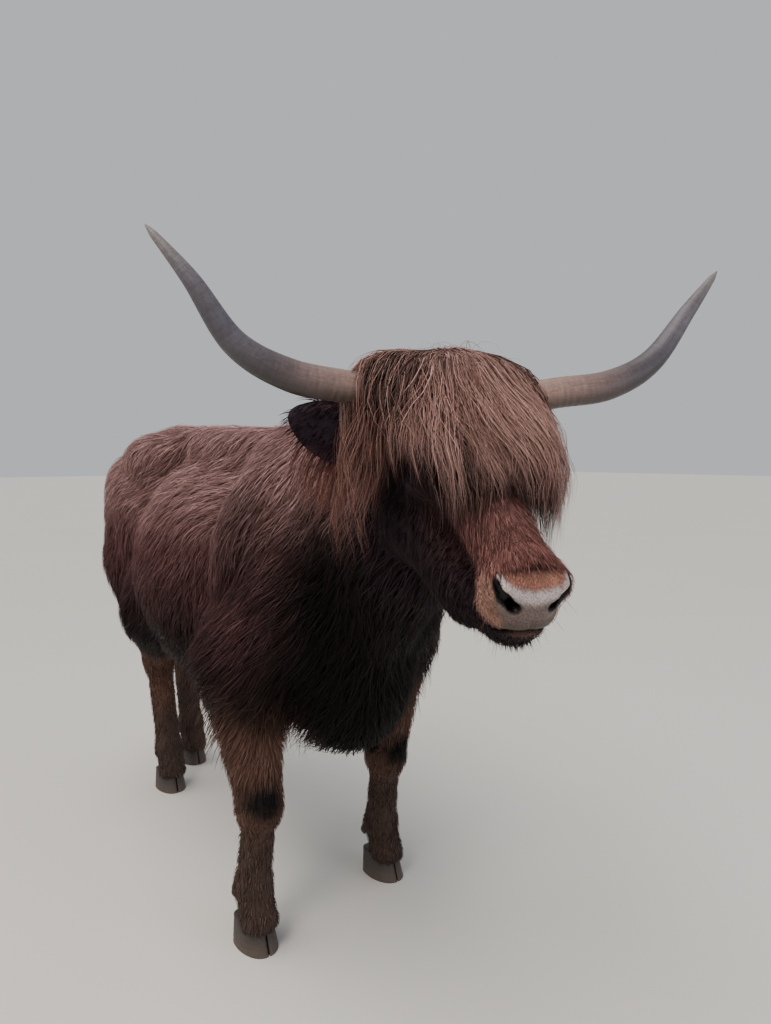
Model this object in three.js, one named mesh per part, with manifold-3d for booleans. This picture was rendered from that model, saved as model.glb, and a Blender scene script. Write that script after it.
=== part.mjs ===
// A highland cow standing still, life size, made as a museum model: the flesh and its coat as
// one smooth body, parted with thin cuts into head, neck, trunk, legs and tail, with horns,
// ears, eyes, forelock and hooves as pieces of their own.
//
// Millimetres, +Z up. The cow faces -Y and its left side is +X. The solids reach out to the
// tips of the coat: every shape below is flesh plus the depth of the hair that grows on it.
import * as THREE from "three";
import { mergeVertices } from "three/addons/utils/BufferGeometryUtils.js";
import Module from "manifold-3d";

const wasm = await Module();
wasm.setup();
const V = (x, y, z) => new THREE.Vector3(x, y, z);

// ---------------------------------------------------------------- driving dimensions
const BACK = 1205; // height of the spine's top, coat included
const KNEE = 330; // height of the fore knees
const HOCK = 425; // height of the hocks
const ELBOW = 650; // height of the elbows
const FETLOCK = 135; // height of the fetlocks, fore and hind
const HOOF_HEIGHT = 62; // top of a claw above the floor
const CUT = 0.5; // width of the thin cut between two nodes of flesh

// Where each foot stands: x sideways, y along the body, and the height of its middle joint.
const FEET = {
  fore_right: { x: -208, y: 6, fore: true },
  fore_left: { x: 200, y: 62, fore: true },
  hind_right: { x: -67, y: 906, fore: false },
  hind_left: { x: 80, y: 1076, fore: false },
};

// The head is set on a frame of its own at the poll: u runs down the face to the muzzle,
// v to the cow's left and w out of the forehead.
const POLL = V(-85, -495, 1236);
const HEAD_TURN = THREE.MathUtils.degToRad(21); // towards the cow's right
const HEAD_DIP = THREE.MathUtils.degToRad(36); // of the face below the horizontal

// Depth of the coat on each stretch of the body.
const COAT = {
  back: 22,
  ribs: 34,
  belly: 52,
  brisket: 48,
  neck: 40,
  rump: 28,
  thigh: 34,
  arm: 32,
  shank: 12,
  face: 12,
  muzzle: 5,
  cheek: 22,
  ear: 15,
};

// ---------------------------------------------------------------- fields
// A field gives the signed distance from a point to a shape's surface, negative inside.

/** A tapered rod with round ends; wide stretches it sideways. */
function rod(a, b, radiusA, radiusB, wide = 1) {
  const from = V(a.x / wide, a.y, a.z);
  const along = V(b.x / wide, b.y, b.z).sub(from);
  const lengthSquared = along.lengthSq();
  const q = V(0, 0, 0);
  return (p) => {
    q.set(p.x / wide, p.y, p.z).sub(from);
    const t = Math.min(1, Math.max(0, q.dot(along) / lengthSquared));
    q.addScaledVector(along, -t);
    return (q.length() - (radiusA + (radiusB - radiusA) * t)) * Math.min(1, wide);
  };
}

/** An egg: an ellipsoid with radii along x, y and z, leaning by lean radians about x. */
function egg(centre, radii, lean = 0) {
  const [c, s] = [Math.cos(lean), Math.sin(lean)];
  return (p) => {
    const [x, y, z] = [p.x - centre.x, p.y - centre.y, p.z - centre.z];
    const [X, Y, Z] = [x / radii.x, (c * y + s * z) / radii.y, (c * z - s * y) / radii.z];
    const near = Math.hypot(X, Y, Z);
    const slope = Math.hypot(X / radii.x, Y / radii.y, Z / radii.z);
    return slope < 1e-9 ? -Math.min(radii.x, radii.y, radii.z) : (near * (near - 1)) / slope;
  };
}

/** Fields flowing into each other over the width k. */
function blend(k, ...fields) {
  return (p) =>
    fields.reduce((d, field) => {
      const e = field(p);
      const h = Math.max(0, k - Math.abs(d - e)) / k;
      return Math.min(d, e) - (h * h * k) / 4;
    }, 1e9);
}

/** The same shape on both sides of the plane x = 0. */
const bothSides = (field) => {
  const q = V(0, 0, 0);
  return (p) => field(q.set(Math.abs(p.x), p.y, p.z));
};

// ---------------------------------------------------------------- the body
function trunkField() {
  const spine = BACK - 72;
  return bothSides(
    blend(
      75,
      egg(V(0, 480, 800), V(250 + COAT.ribs, 480, 300 + COAT.belly)), // barrel
      egg(V(0, 90, 800), V(205 + COAT.ribs, 270, 315 + COAT.brisket)), // chest
      rod(V(0, 20, spine - 12), V(0, 860, spine + 16), 50 + COAT.back, 50 + COAT.back, 1.4),
      egg(V(0, 950, 950), V(195 + COAT.rump, 285, 215 + COAT.back)), // croup
      egg(V(134, 812, spine - 22), V(60 + COAT.rump, 95, 48 + COAT.back)), // hip bones
      egg(V(88, 1160, 1003), V(64 + COAT.rump, 96, 95 + COAT.rump)), // pin bones
      egg(V(135, 60, 880), V(75 + COAT.ribs, 150, 225), 0.25), // shoulder blade
      rod(V(150, -60, 770), V(215, 40, ELBOW + 10), 85 + COAT.arm, 72 + COAT.arm), // upper arm
      egg(V(0, -80, 620), V(105 + COAT.brisket, 130, 150 + COAT.brisket)), // brisket
      egg(V(100, 1000, 800), V(86 + COAT.thigh, 195, 235), -0.2), // thigh
    ),
  );
}

function neckField() {
  return blend(
    110,
    rod(V(0, 60, 930), V(-60, -330, 1070), 190 + COAT.neck, 130 + COAT.neck, 0.8),
    rod(V(0, 60, 1050), V(-75, -400, 1175), 85 + COAT.back, 70 + COAT.back, 0.8), // crest
    rod(V(0, -70, 690), V(-70, -350, 910), 100 + COAT.brisket, 70 + COAT.neck, 0.7), // dewlap
  );
}

function legField({ x, y, fore }) {
  const side = Math.sign(x);
  const fetlock = V(x, y + 20, FETLOCK);
  const toe = V(x, y - 8, HOOF_HEIGHT - 4);
  const shank = COAT.shank;
  const foot = blend(14, egg(fetlock, V(36 + shank, 38 + shank, 44)), rod(fetlock, toe, 32 + shank, 36 + shank));
  if (fore) {
    const elbow = V(side * 215, 45, ELBOW);
    const knee = V(x - side * 4, y - 8, KNEE);
    const upper = blend(
      45,
      rod(elbow, knee, 78 + COAT.arm, 40 + shank),
      rod(V(side * 215, 90, ELBOW - 20), V(x, y + 60, KNEE + 120), 44 + COAT.arm, 18 + shank), // feather
    );
    const lower = blend(
      14,
      egg(knee, V(43 + shank, 44 + shank, 58)),
      rod(knee, fetlock, 30 + shank, 32 + shank),
      foot,
    );
    return blend(24, upper, lower);
  }
  const hock = V(x * 1.05, y + 88, HOCK);
  const stifle = V(side * 150, 800, 640);
  const upper = blend(
    55,
    rod(stifle, hock, 105 + COAT.thigh, 34 + shank, 0.75),
    rod(V(side * 105, 1085, 760), hock, 100 + COAT.thigh, 30 + shank, 0.75), // hamstring
  );
  const lower = blend(
    14,
    egg(hock, V(34 + shank, 48 + shank, 60)),
    rod(hock, fetlock, 33 + shank, 31 + shank),
    foot,
  );
  return blend(24, upper, lower);
}

// The head's own frame, as a matrix from (u, v, w) to the part.
const HEAD_FRAME = (() => {
  const [ct, st] = [Math.cos(HEAD_TURN), Math.sin(HEAD_TURN)];
  const [cd, sd] = [Math.cos(HEAD_DIP), Math.sin(HEAD_DIP)];
  const ahead = V(-st, -ct, 0);
  const up = V(0, 0, 1);
  const u = ahead.clone().multiplyScalar(cd).addScaledVector(up, -sd);
  const w = ahead.clone().multiplyScalar(sd).addScaledVector(up, cd);
  const v = w.clone().cross(u);
  return new THREE.Matrix4().makeBasis(u, v, w).setPosition(POLL);
})();
const FROM_PART = HEAD_FRAME.clone().invert();

/** A field drawn in the head's frame, as (v, u, w), seen from the part. */
function inHead(field) {
  const q = V(0, 0, 0);
  const r = V(0, 0, 0);
  return (p) => {
    q.copy(p).applyMatrix4(FROM_PART);
    return field(r.set(q.y, q.x, q.z));
  };
}
/** The same for a field that is alike on both sides of the head. */
const onHead = (field) => inHead(bothSides(field));
/** A point of the head: a along the face from the poll, s sideways, d out of the forehead. */
const H = (s, a, d) => V(s, a, d);

function headField() {
  const { face, muzzle, cheek } = COAT;
  return onHead(
    blend(
      28,
      egg(H(0, 70, -75), V(100 + face, 110, 84 + face)), // brain case
      egg(H(0, 130, -55), V(102 + face, 120, 54 + face)), // forehead
      rod(H(0, 0, -12), H(80, 5, -18), 34 + face, 26 + face), // poll
      egg(H(88, 190, -38), V(22 + face, 46, 26 + face)), // brow
      rod(H(0, 160, -56), H(0, 386, -58), 52 + face, 39 + face, 1.08), // nose
      rod(H(40, 110, -184), H(24, 340, -160), 72 + cheek, 50 + face), // jaw
      egg(H(60, 140, -138), V(30 + cheek, 90, 92 + cheek)), // chewing muscle
      egg(H(0, 406, -74), V(52 + muzzle, 50, 50 + muzzle)), // muzzle
      egg(H(36, 422, -58), V(22 + muzzle, 28, 24 + muzzle)), // nostril wing
      egg(H(0, 416, -102), V(50 + muzzle, 42, 31)), // lips
      egg(H(0, 386, -137), V(42 + face, 64, 33 + face / 2)), // chin
    ),
  );
}

// ---------------------------------------------------------------- surface of a field
/** Moves a point onto the field's zero surface, by no more than reach. */
function settle(field, point, reach) {
  const start = point.clone();
  for (let turn = 0; turn < 3; turn++) {
    const here = field(point);
    const slope = V(
      field(V(point.x + 1, point.y, point.z)) - here,
      field(V(point.x, point.y + 1, point.z)) - here,
      field(V(point.x, point.y, point.z + 1)) - here,
    );
    point.addScaledVector(slope, -here / Math.max(slope.lengthSq(), 0.05));
    const moved = point.clone().sub(start).clampLength(0, reach);
    point.copy(start).add(moved);
  }
}

/** A closed solid of the field's zero surface in a box, on a grid of the given steps. A grid
 * plane that just grazes the surface can pinch it, and then the grid is moved along a little. */
function skinOf(field, low, high, step) {
  for (const share of [0, 0.3, 0.55, 0.8, 0.15, 0.45, 0.7]) {
    const { points, faces } = netOf(field, low.clone().addScaledVector(step, -share), high, step);
    const used = new Map();
    faces.forEach((from, i) => {
      const to = faces[i % 3 === 2 ? i - 2 : i + 1];
      const edge = Math.min(from, to) * points.length + Math.max(from, to);
      used.set(edge, (used.get(edge) ?? 0) + 1);
    });
    if ([...used.values()].some((times) => times !== 2)) continue;
    const mesh = new wasm.Mesh({
      numProp: 3,
      vertProperties: Float32Array.from(points),
      triVerts: Uint32Array.from(faces),
    });
    return new wasm.Manifold(mesh);
  }
  throw new Error("no grid leaves this surface whole");
}

function netOf(field, low, high, step) {
  const count = [0, 1, 2].map((i) =>
    Math.ceil((high.getComponent(i) - low.getComponent(i)) / step.getComponent(i)) + 1,
  );
  const [nx, ny, nz] = count;
  const at = (i, j, k) => (k * ny + j) * nx + i;
  const value = new Float64Array(nx * ny * nz);
  const p = V(0, 0, 0);
  for (let k = 0; k < nz; k++)
    for (let j = 0; j < ny; j++)
      for (let i = 0; i < nx; i++) {
        p.set(low.x + i * step.x, low.y + j * step.y, low.z + k * step.z);
        const edge = i * j * k === 0 || i === nx - 1 || j === ny - 1 || k === nz - 1;
        value[at(i, j, k)] = edge ? Math.max(1e-3, field(p)) : field(p);
      }
  // One vertex in each cell that the surface crosses, at the mean of its edge crossings.
  const vertexOf = new Int32Array(nx * ny * nz).fill(-1);
  const points = [];
  const corners = [0, 1, 2, 3, 4, 5, 6, 7].map((c) => [c & 1, (c >> 1) & 1, (c >> 2) & 1]);
  const edges = corners.flatMap((_, a) =>
    [1, 2, 4].filter((bit) => !(a & bit)).map((bit) => [a, a | bit]),
  );
  for (let k = 0; k < nz - 1; k++)
    for (let j = 0; j < ny - 1; j++)
      for (let i = 0; i < nx - 1; i++) {
        const sum = V(0, 0, 0);
        let crossings = 0;
        for (const [a, b] of edges) {
          const [ca, cb] = [corners[a], corners[b]];
          const va = value[at(i + ca[0], j + ca[1], k + ca[2])];
          const vb = value[at(i + cb[0], j + cb[1], k + cb[2])];
          if (va < 0 === vb < 0) continue;
          const t = va / (va - vb);
          sum.add(V(ca[0], ca[1], ca[2]).lerp(V(cb[0], cb[1], cb[2]), t));
          crossings++;
        }
        if (!crossings) continue;
        const corner = V(i, j, k);
        const vertex = sum.divideScalar(crossings).add(corner).multiply(step).add(low);
        settle(field, vertex, Math.min(step.x, step.y, step.z) / 6);
        vertexOf[at(i, j, k)] = points.length / 3;
        points.push(...vertex.toArray());
      }
  // Two triangles across each grid edge that the surface crosses.
  const faces = [];
  const axes = [
    [1, 0, 0],
    [0, 1, 0],
    [0, 0, 1],
  ];
  for (let k = 0; k < nz - 1; k++)
    for (let j = 0; j < ny - 1; j++)
      for (let i = 0; i < nx - 1; i++)
        axes.forEach((axis, n) => {
          const place = [i, j, k];
          if (!place[(n + 1) % 3] || !place[(n + 2) % 3]) return;
          const here = value[at(i, j, k)] < 0;
          const there = value[at(i + axis[0], j + axis[1], k + axis[2])] < 0;
          if (here === there) return;
          const [b, c] = [axes[(n + 1) % 3], axes[(n + 2) % 3]];
          const cell = (s, t) =>
            vertexOf[
              at(i - s * b[0] - t * c[0], j - s * b[1] - t * c[1], k - s * b[2] - t * c[2])
            ];
          const ring = [cell(0, 0), cell(1, 0), cell(1, 1), cell(0, 1)];
          if (!here) ring.reverse();
          faces.push(ring[0], ring[1], ring[2], ring[0], ring[2], ring[3]);
        });
  return { points, faces };
}

// ---------------------------------------------------------------- solids
/** A three.js geometry as a manifold solid. */
function solid(geometry, matrix = new THREE.Matrix4()) {
  const bare = geometry.clone().applyMatrix4(matrix);
  bare.deleteAttribute("normal");
  bare.deleteAttribute("uv");
  const merged = mergeVertices(bare, 1e-3);
  return new wasm.Manifold(
    new wasm.Mesh({
      numProp: 3,
      vertProperties: merged.attributes.position.array,
      triVerts: new Uint32Array(merged.index.array),
    }),
  );
}

/** The half of space behind the plane through point, as a large box. */
function halfSpace(point, normal, size = 3000) {
  const turn = new THREE.Quaternion().setFromUnitVectors(V(0, 0, 1), normal.clone().normalize());
  const centre = point.clone().addScaledVector(normal.clone().normalize(), -size / 2);
  const place = new THREE.Matrix4().compose(centre, turn, V(1, 1, 1));
  return solid(new THREE.BoxGeometry(size, size, size), place);
}

/** The largest of a solid's separate bodies. */
const largest = (s) => s.decompose().sort((a, b) => b.volume() - a.volume())[0];

const cow = new THREE.Group();

/** Adds a solid to the cow as a named mesh. */
function add(name, body, { color, roughness, metalness = 0 }) {
  const mesh = body.getMesh();
  const geometry = new THREE.BufferGeometry()
    .setAttribute("position", new THREE.BufferAttribute(Float32Array.from(mesh.vertProperties), 3))
    .setIndex(new THREE.BufferAttribute(Uint32Array.from(mesh.triVerts), 1));
  geometry.computeVertexNormals();
  const made = new THREE.Mesh(
    geometry,
    new THREE.MeshStandardMaterial({ color, roughness, metalness }),
  );
  made.name = name;
  cow.add(made);
}

/** The same body with its surface moved out by a small amount all over. */
function inflate(body, by) {
  const { vertProperties, triVerts, numProp } = body.getMesh();
  const corner = (i) => V(...vertProperties.slice(i * numProp, i * numProp + 3));
  const outward = Array.from({ length: vertProperties.length / numProp }, () => V(0, 0, 0));
  for (let i = 0; i < triVerts.length; i += 3) {
    const [a, b, c] = [0, 1, 2].map((k) => corner(triVerts[i + k]));
    const normal = b.clone().sub(a).cross(c.clone().sub(a)).normalize();
    for (let k = 0; k < 3; k++) outward[triVerts[i + k]].add(normal);
  }
  const moved = outward.flatMap((out, i) => corner(i).addScaledVector(out.normalize(), by).toArray());
  const mesh = new wasm.Mesh({
    numProp: 3,
    vertProperties: new Float32Array(moved),
    triVerts: new Uint32Array(triVerts),
  });
  return new wasm.Manifold(mesh);
}

// ---------------------------------------------------------------- lofted pieces
/** A closed body around a curve: radii(t) gives its half width and half depth at t, and flat
 * is the direction that its depth is measured along. */
function loft(curve, radii, flat, sides, steps) {
  const points = [];
  const faces = [];
  const ring = (i, j) => 1 + (i - 1) * sides + ((j + sides) % sides);
  points.push(curve.getPoint(0));
  for (let i = 1; i < steps; i++) {
    const t = i / steps;
    const along = curve.getTangent(t);
    const across = along.clone().cross(flat).normalize();
    const deep = across.clone().cross(along).normalize();
    const [width, depth] = radii(t);
    for (let j = 0; j < sides; j++) {
      const angle = (2 * Math.PI * j) / sides;
      const out = across.clone().multiplyScalar(width * Math.cos(angle));
      points.push(curve.getPoint(t).add(out).addScaledVector(deep, depth * Math.sin(angle)));
    }
  }
  points.push(curve.getPoint(1));
  const last = points.length - 1;
  for (let j = 0; j < sides; j++) {
    faces.push(0, ring(1, j + 1), ring(1, j));
    for (let i = 1; i < steps - 1; i++) {
      faces.push(ring(i, j), ring(i, j + 1), ring(i + 1, j + 1));
      faces.push(ring(i, j), ring(i + 1, j + 1), ring(i + 1, j));
    }
    faces.push(last, ring(steps - 1, j), ring(steps - 1, j + 1));
  }
  const geometry = new THREE.BufferGeometry()
    .setAttribute("position", new THREE.Float32BufferAttribute(points.flatMap((q) => q.toArray()), 3))
    .setIndex(faces);
  const made = solid(geometry);
  return made.volume() < 0 ? solid(flipped(geometry)) : made;
}

/** The same geometry with its faces turned round. */
function flipped(geometry) {
  const index = Array.from(geometry.index.array);
  for (let i = 0; i < index.length; i += 3) [index[i], index[i + 1]] = [index[i + 1], index[i]];
  return geometry.clone().setIndex(index);
}

/** A point of the head's frame in the part: side is 1 on the cow's left and -1 on its right. */
const headPoint = (side, s, a, d) => V(a, side * s, d).applyMatrix4(HEAD_FRAME);

// ---------------------------------------------------------------- horns
// From the poll a horn runs out level, then sweeps up to a blunt tip that turns out a little.
const HORN = { radius: 27, taperFrom: 0.45, tip: 0.15 };
const HORN_LINE = [
  [66, 24, -12],
  [112, 38, 4],
  [186, 43, 22],
  [281, 41, 39],
  [365, 17, 77],
  [429, -25, 156],
  [491, -72, 214],
];

/** A horn, or the same horn with its surface grow further out. */
function horn(side, grow = 0) {
  const curve = new THREE.CatmullRomCurve3(HORN_LINE.map((q) => headPoint(side, ...q)));
  const radius = (t) => {
    const share = Math.max(0, t - HORN.taperFrom) / (1 - HORN.taperFrom);
    return HORN.radius * (1 - (1 - HORN.tip) * share ** 1.5) + grow;
  };
  return loft(curve, (t) => [radius(t), radius(t)], V(0, 1, 0), 10, 18);
}

// ---------------------------------------------------------------- ears and eyes
const EAR = { halfWidth: 62, halfDepth: 24 };
const EAR_LINE = [
  [88, 40, -86],
  [150, 26, -84],
  [215, 2, -80],
  [272, -30, -76],
];

/** An ear and the fringe round it: a leaf that narrows to its tip. */
function ear(side) {
  const curve = new THREE.CatmullRomCurve3(EAR_LINE.map((q) => headPoint(side, ...q)));
  const leaf = (t) => Math.sin(Math.PI * Math.min(1, 0.16 + t * 0.84)) ** 0.7;
  const radii = (t) => [
    6 + (EAR.halfWidth + COAT.ear) * leaf(t),
    5 + EAR.halfDepth * (1 - 0.5 * t) * leaf(t),
  ];
  return loft(curve, radii, EAR_FACING, 10, 8);
}
// The ear's hollow faces forwards and a little down.
const EAR_FACING = V(1, 0, 0.25).transformDirection(HEAD_FRAME);

const EYE = { s: 92, a: 190, d: -44, radius: 19, lids: 24, out: 17 };
const eyeCentre = (side, extra = 0) => headPoint(side, EYE.s + extra, EYE.a, EYE.d + extra / 4);
function ball(centre, radius, segments = 12) {
  const place = new THREE.Matrix4().setPosition(centre);
  return solid(new THREE.SphereGeometry(radius, segments, segments / 2 + 1), place);
}

// ---------------------------------------------------------------- hooves
const CLAW = { halfLength: 56, width: 46, split: 5, lean: 14, narrowing: 0.16 };

/** One claw: a rounded outline that narrows and slopes back as it rises. */
function claw(x, y, side) {
  const shape = new THREE.Shape();
  const { halfLength: half, width: wide } = CLAW;
  const inner = CLAW.split / 2;
  shape.moveTo(inner, -half);
  shape.bezierCurveTo(wide * 0.75, -half, wide * 1.02, -half * 0.2, wide, half * 0.3);
  shape.bezierCurveTo(wide, half * 0.9, wide * 0.75, half, wide * 0.45, half);
  shape.bezierCurveTo(wide * 0.1, half, inner, half * 0.8, inner, half * 0.3);
  shape.lineTo(inner, -half * 0.7);
  shape.closePath();
  const block = { depth: 1, bevelEnabled: false, steps: 1, curveSegments: 3 };
  const geometry = new THREE.ExtrudeGeometry(shape, block);
  const at = geometry.attributes.position;
  for (let i = 0; i < at.count; i++) {
    const rise = at.getZ(i);
    const size = 1 - CLAW.narrowing * rise;
    const back = y + at.getY(i) * size + CLAW.lean * rise;
    at.setXYZ(i, x + side * at.getX(i) * size, back, rise * HOOF_HEIGHT);
  }
  return solid(side > 0 ? geometry : mirrored(geometry));
}

/** Bare, welded faces, turned round because their points were mirrored. */
function mirrored(geometry) {
  const bare = geometry.clone();
  bare.deleteAttribute("normal");
  bare.deleteAttribute("uv");
  return flipped(mergeVertices(bare, 1e-3));
}

const DEWCLAW = { halfWidth: 15, halfDepth: 13 };

/** A dewclaw, one of the two small claws behind each fetlock. */
function dewclaw({ x, y }, side) {
  const top = V(x + side * 20, y + 46, FETLOCK - 12);
  const tip = V(x + side * 24, y + 76, FETLOCK - 50);
  const full = (t) => Math.sin(Math.PI * Math.min(0.9, t + 0.25));
  const radii = (t) => [DEWCLAW.halfWidth * full(t), DEWCLAW.halfDepth * full(t)];
  return loft(new THREE.LineCurve3(top, tip), radii, V(1, 0, 0), 8, 5);
}

// ---------------------------------------------------------------- parting the flesh
/** The convex cell inside a list of planes [point, outward normal], moved out by grow. */
function cell(planes, grow = 0) {
  return planes
    .map(([point, normal]) => {
      const out = normal.clone().normalize();
      return halfSpace(point.clone().addScaledVector(out, grow), out);
    })
    .reduce((a, b) => a.intersect(b));
}
const flipPlane = ([point, normal]) => [point, normal.clone().negate()];

// Behind the jaw and the poll, and in front of the shoulders.
const HEAD_CUT = [
  headPoint(0, 0, -40, 0),
  V(0.81 * 0.976 + 0.588 * 0.214, 0, 0.588 * 0.976 - 0.81 * 0.214).transformDirection(HEAD_FRAME),
];
const NECK_CUT = [V(0, -90, 900), V(-0.1, -0.8, 0.6)];

/** The planes around a leg's own stretch of the body. */
function legPlanes({ x, y, fore }) {
  const side = Math.sign(x);
  const hoofTop = [V(0, 0, HOOF_HEIGHT), V(0, 0, -1)];
  return fore
    ? [
        hoofTop,
        [V(side * 100, 0, 0), V(-side, 0, 0)],
        [V(side * 200, 45, 600), V(side * -0.35, 0, 1)],
        [V(0, 190, 0), V(0, 1, 0.2)],
        [V(0, -118, 600), V(0, -1, 0.25)],
      ]
    : [hoofTop, [V(0, 0, 0), V(-side, 0, 0)], [V(0, 960, 680), V(0, -0.4, 1)], [V(0, 700, 0), V(0, -1, 0)]];
}

// ---------------------------------------------------------------- the forelock
function forelockField() {
  const evenly = blend(
    60,
    egg(H(0, 24, 14), V(125, 80, 74)), // crown
    egg(H(0, 12, 20), V(180, 62, 52)), // over the roots of the horns
    egg(H(0, 92, 0), V(120, 105, 67)), // down from the crown
    egg(H(0, 150, -4), V(118, 125, 56)), // over the forehead
    egg(H(86, 130, -46), V(74, 138, 88)), // past the eyes
    egg(H(0, 235, -18), V(90, 78, 44)), // fringe on the nose
  );
  // More hair has fallen over the root of the right horn.
  const heap = egg(H(-112, 48, 20), V(76, 62, 58));
  return blend(45, onHead(evenly), inHead(heap));
}

// ---------------------------------------------------------------- the tail
const DOCK = { top: 34, end: 17 };
const TAIL_LINE = [V(-10, 1190, 1125), V(-58, 1256, 1085), V(-84, 1280, 950), V(-56, 1290, 700)];
const SWITCH_LINE = [V(-56, 1290, 699), V(-40, 1296, 590), V(-22, 1290, 480), V(-6, 1278, 350)];

function tail() {
  const radius = (t) => DOCK.top + (DOCK.end - DOCK.top) * t;
  const curve = new THREE.CatmullRomCurve3(TAIL_LINE);
  return loft(curve, (t) => [radius(t), radius(t)], V(1, 0, 0), 10, 12);
}
/** The long hair at the end of the tail. */
function tailSwitch() {
  const curve = new THREE.CatmullRomCurve3(SWITCH_LINE);
  const full = (t) => 12 + 38 * Math.sin(Math.PI * Math.min(1, t + 0.05)) ** 0.8;
  return loft(curve, (t) => [full(t), full(t)], V(1, 0, 0), 10, 9);
}

// ---------------------------------------------------------------- assembly
const FINISH = {
  coat: { color: 0x4a2a1e, roughness: 0.85 },
  forelock: { color: 0x6e4632, roughness: 0.8 },
  horn: { color: 0x6b5a4c, roughness: 0.5 },
  eye: { color: 0x120c0a, roughness: 0.1 },
  hoof: { color: 0x2b2420, roughness: 0.6 },
};

const trunk = trunkField();
const neck = neckField();
const head = headField();
const legs = Object.fromEntries(Object.entries(FEET).map(([name, foot]) => [name, legField(foot)]));
const flesh = blend(60, trunk, neck, ...Object.values(legs), head);

/** The flesh inside a box of space, on a grid fine enough for that stretch. */
const stretch = (low, high, step, field = flesh) => skinOf(field, low, high, step);

// Trunk and neck.
const legCells = Object.values(FEET).map((foot) => cell(legPlanes(foot), CUT));
let trunkBody = stretch(V(-413, -330, 250), V(413, 1430, 1360), V(80, 80, 74));
trunkBody = trunkBody.intersect(cell([NECK_CUT]));
for (const legCell of legCells) trunkBody = trunkBody.subtract(legCell);
trunkBody = largest(trunkBody);
const trunkGrown = inflate(trunkBody, 1.5);
add("trunk", trunkBody, FINISH.coat);
add("tail", largest(tail().subtract(trunkGrown)), FINISH.coat);
add("tail_switch", tailSwitch(), FINISH.coat);

const neckCell = cell([flipPlane(NECK_CUT), HEAD_CUT], -CUT);
const neckBody = stretch(V(-390, -660, 560), V(350, 220, 1380), V(66, 66, 64));
const neckKept = largest(neckBody.intersect(neckCell));
add("neck", neckKept, FINISH.coat);

// Legs, down to the top of the hooves.
for (const [name, foot] of Object.entries(FEET)) {
  const side = Math.sign(foot.x);
  const low = V(side > 0 ? 0 : -400, foot.fore ? -260 : 640, 20);
  const high = V(side > 0 ? 400 : 0, foot.fore ? 420 : 1360, foot.fore ? 720 : 900);
  const fine = foot.fore ? V(38, 40, 60) : V(42, 44, 64);
  const body = stretch(low, high, fine).intersect(cell(legPlanes(foot)));
  add(name.replace(/(.*)_(.*)/, "$1leg_$2"), largest(body), FINISH.coat);
  const legGrown = inflate(largest(body), 1.5);
  for (const half of [-1, 1]) {
    const place = half * side > 0 ? "outer" : "inner";
    add(`hoof_${name}_${place}`, claw(foot.x, foot.y, half), FINISH.hoof);
    add(`dewclaw_${name}_${place}`, largest(dewclaw(foot, half).subtract(legGrown)), FINISH.hoof);
  }
}

// Head, with the sockets of its eyes, and what grows on it.
const HEAD_BOX = [V(-430, -1090, 740), V(250, -300, 1420), V(42, 42, 42)];
const headWhole = stretch(...HEAD_BOX).intersect(cell([flipPlane(HEAD_CUT)]));
let headBody = headWhole;
const headGrown = inflate(largest(headWhole), 2).add(inflate(neckKept, 2));
for (const side of [-1, 1]) {
  headBody = headBody.subtract(ball(eyeCentre(side), EYE.radius + 1.5));
  headBody = headBody.subtract(ball(eyeCentre(side, EYE.out), EYE.lids));
}
headBody = largest(headBody);
add("head", headBody, FINISH.coat);

let forelock = skinOf(forelockField(), V(-440, -1010, 980), V(250, -360, 1440), V(53, 53, 53));
forelock = forelock.subtract(headGrown);
for (const side of [-1, 1]) {
  const name = side > 0 ? "left" : "right";
  add(`eye_${name}`, ball(eyeCentre(side), EYE.radius), FINISH.eye);
  const hornBody = largest(horn(side).subtract(headGrown));
  add(`horn_${name}`, hornBody, FINISH.horn);
  const earBody = largest(ear(side).subtract(headGrown).subtract(horn(side, 1.5)));
  add(`ear_${name}`, earBody, FINISH.coat);
  forelock = forelock.subtract(horn(side, 1.5));
  forelock = forelock.subtract(inflate(ear(side), 0.8));
  forelock = forelock.subtract(ball(eyeCentre(side, EYE.out), EYE.lids + 1));
}
add("forelock", largest(forelock), FINISH.forelock);

// The origin is on the floor under the middle of the whole cow.
const extent = new THREE.Box3().setFromObject(cow);
const middle = extent.getCenter(V(0, 0, 0));
cow.position.set(-middle.x, -middle.y, -extent.min.z);

export default cow;
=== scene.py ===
"""A highland cow standing still, life size, as a museum shows one.

One skin runs over the whole body. A shaggy coat of solid locks grows on it, and the horns,
ears, eyes and claws are pieces of their own. Metres, +Z up, the cow facing -Y with its left
side towards +X.
"""
import math

import bpy
import numpy as np
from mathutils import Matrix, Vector, kdtree


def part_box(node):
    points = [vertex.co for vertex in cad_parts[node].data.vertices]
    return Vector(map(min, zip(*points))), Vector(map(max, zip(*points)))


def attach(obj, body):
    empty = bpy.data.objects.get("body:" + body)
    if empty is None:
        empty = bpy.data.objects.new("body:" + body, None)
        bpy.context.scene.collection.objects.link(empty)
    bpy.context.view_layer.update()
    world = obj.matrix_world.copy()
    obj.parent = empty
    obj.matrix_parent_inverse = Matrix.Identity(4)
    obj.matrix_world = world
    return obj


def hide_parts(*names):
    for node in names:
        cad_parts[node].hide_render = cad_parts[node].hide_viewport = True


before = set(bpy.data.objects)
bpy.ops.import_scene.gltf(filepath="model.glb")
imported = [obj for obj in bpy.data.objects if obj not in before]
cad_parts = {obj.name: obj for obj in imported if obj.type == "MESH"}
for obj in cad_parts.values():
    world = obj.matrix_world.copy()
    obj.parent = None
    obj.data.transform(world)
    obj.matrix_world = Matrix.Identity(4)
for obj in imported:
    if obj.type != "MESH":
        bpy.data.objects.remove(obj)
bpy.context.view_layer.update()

random = np.random.default_rng(1874)

# ------------------------------------------------------------------ the body's plan
# The plan is in millimetres about the point of the floor midway between the fore feet.
BACK = 1205  # height of the spine's top, coat included
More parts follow.
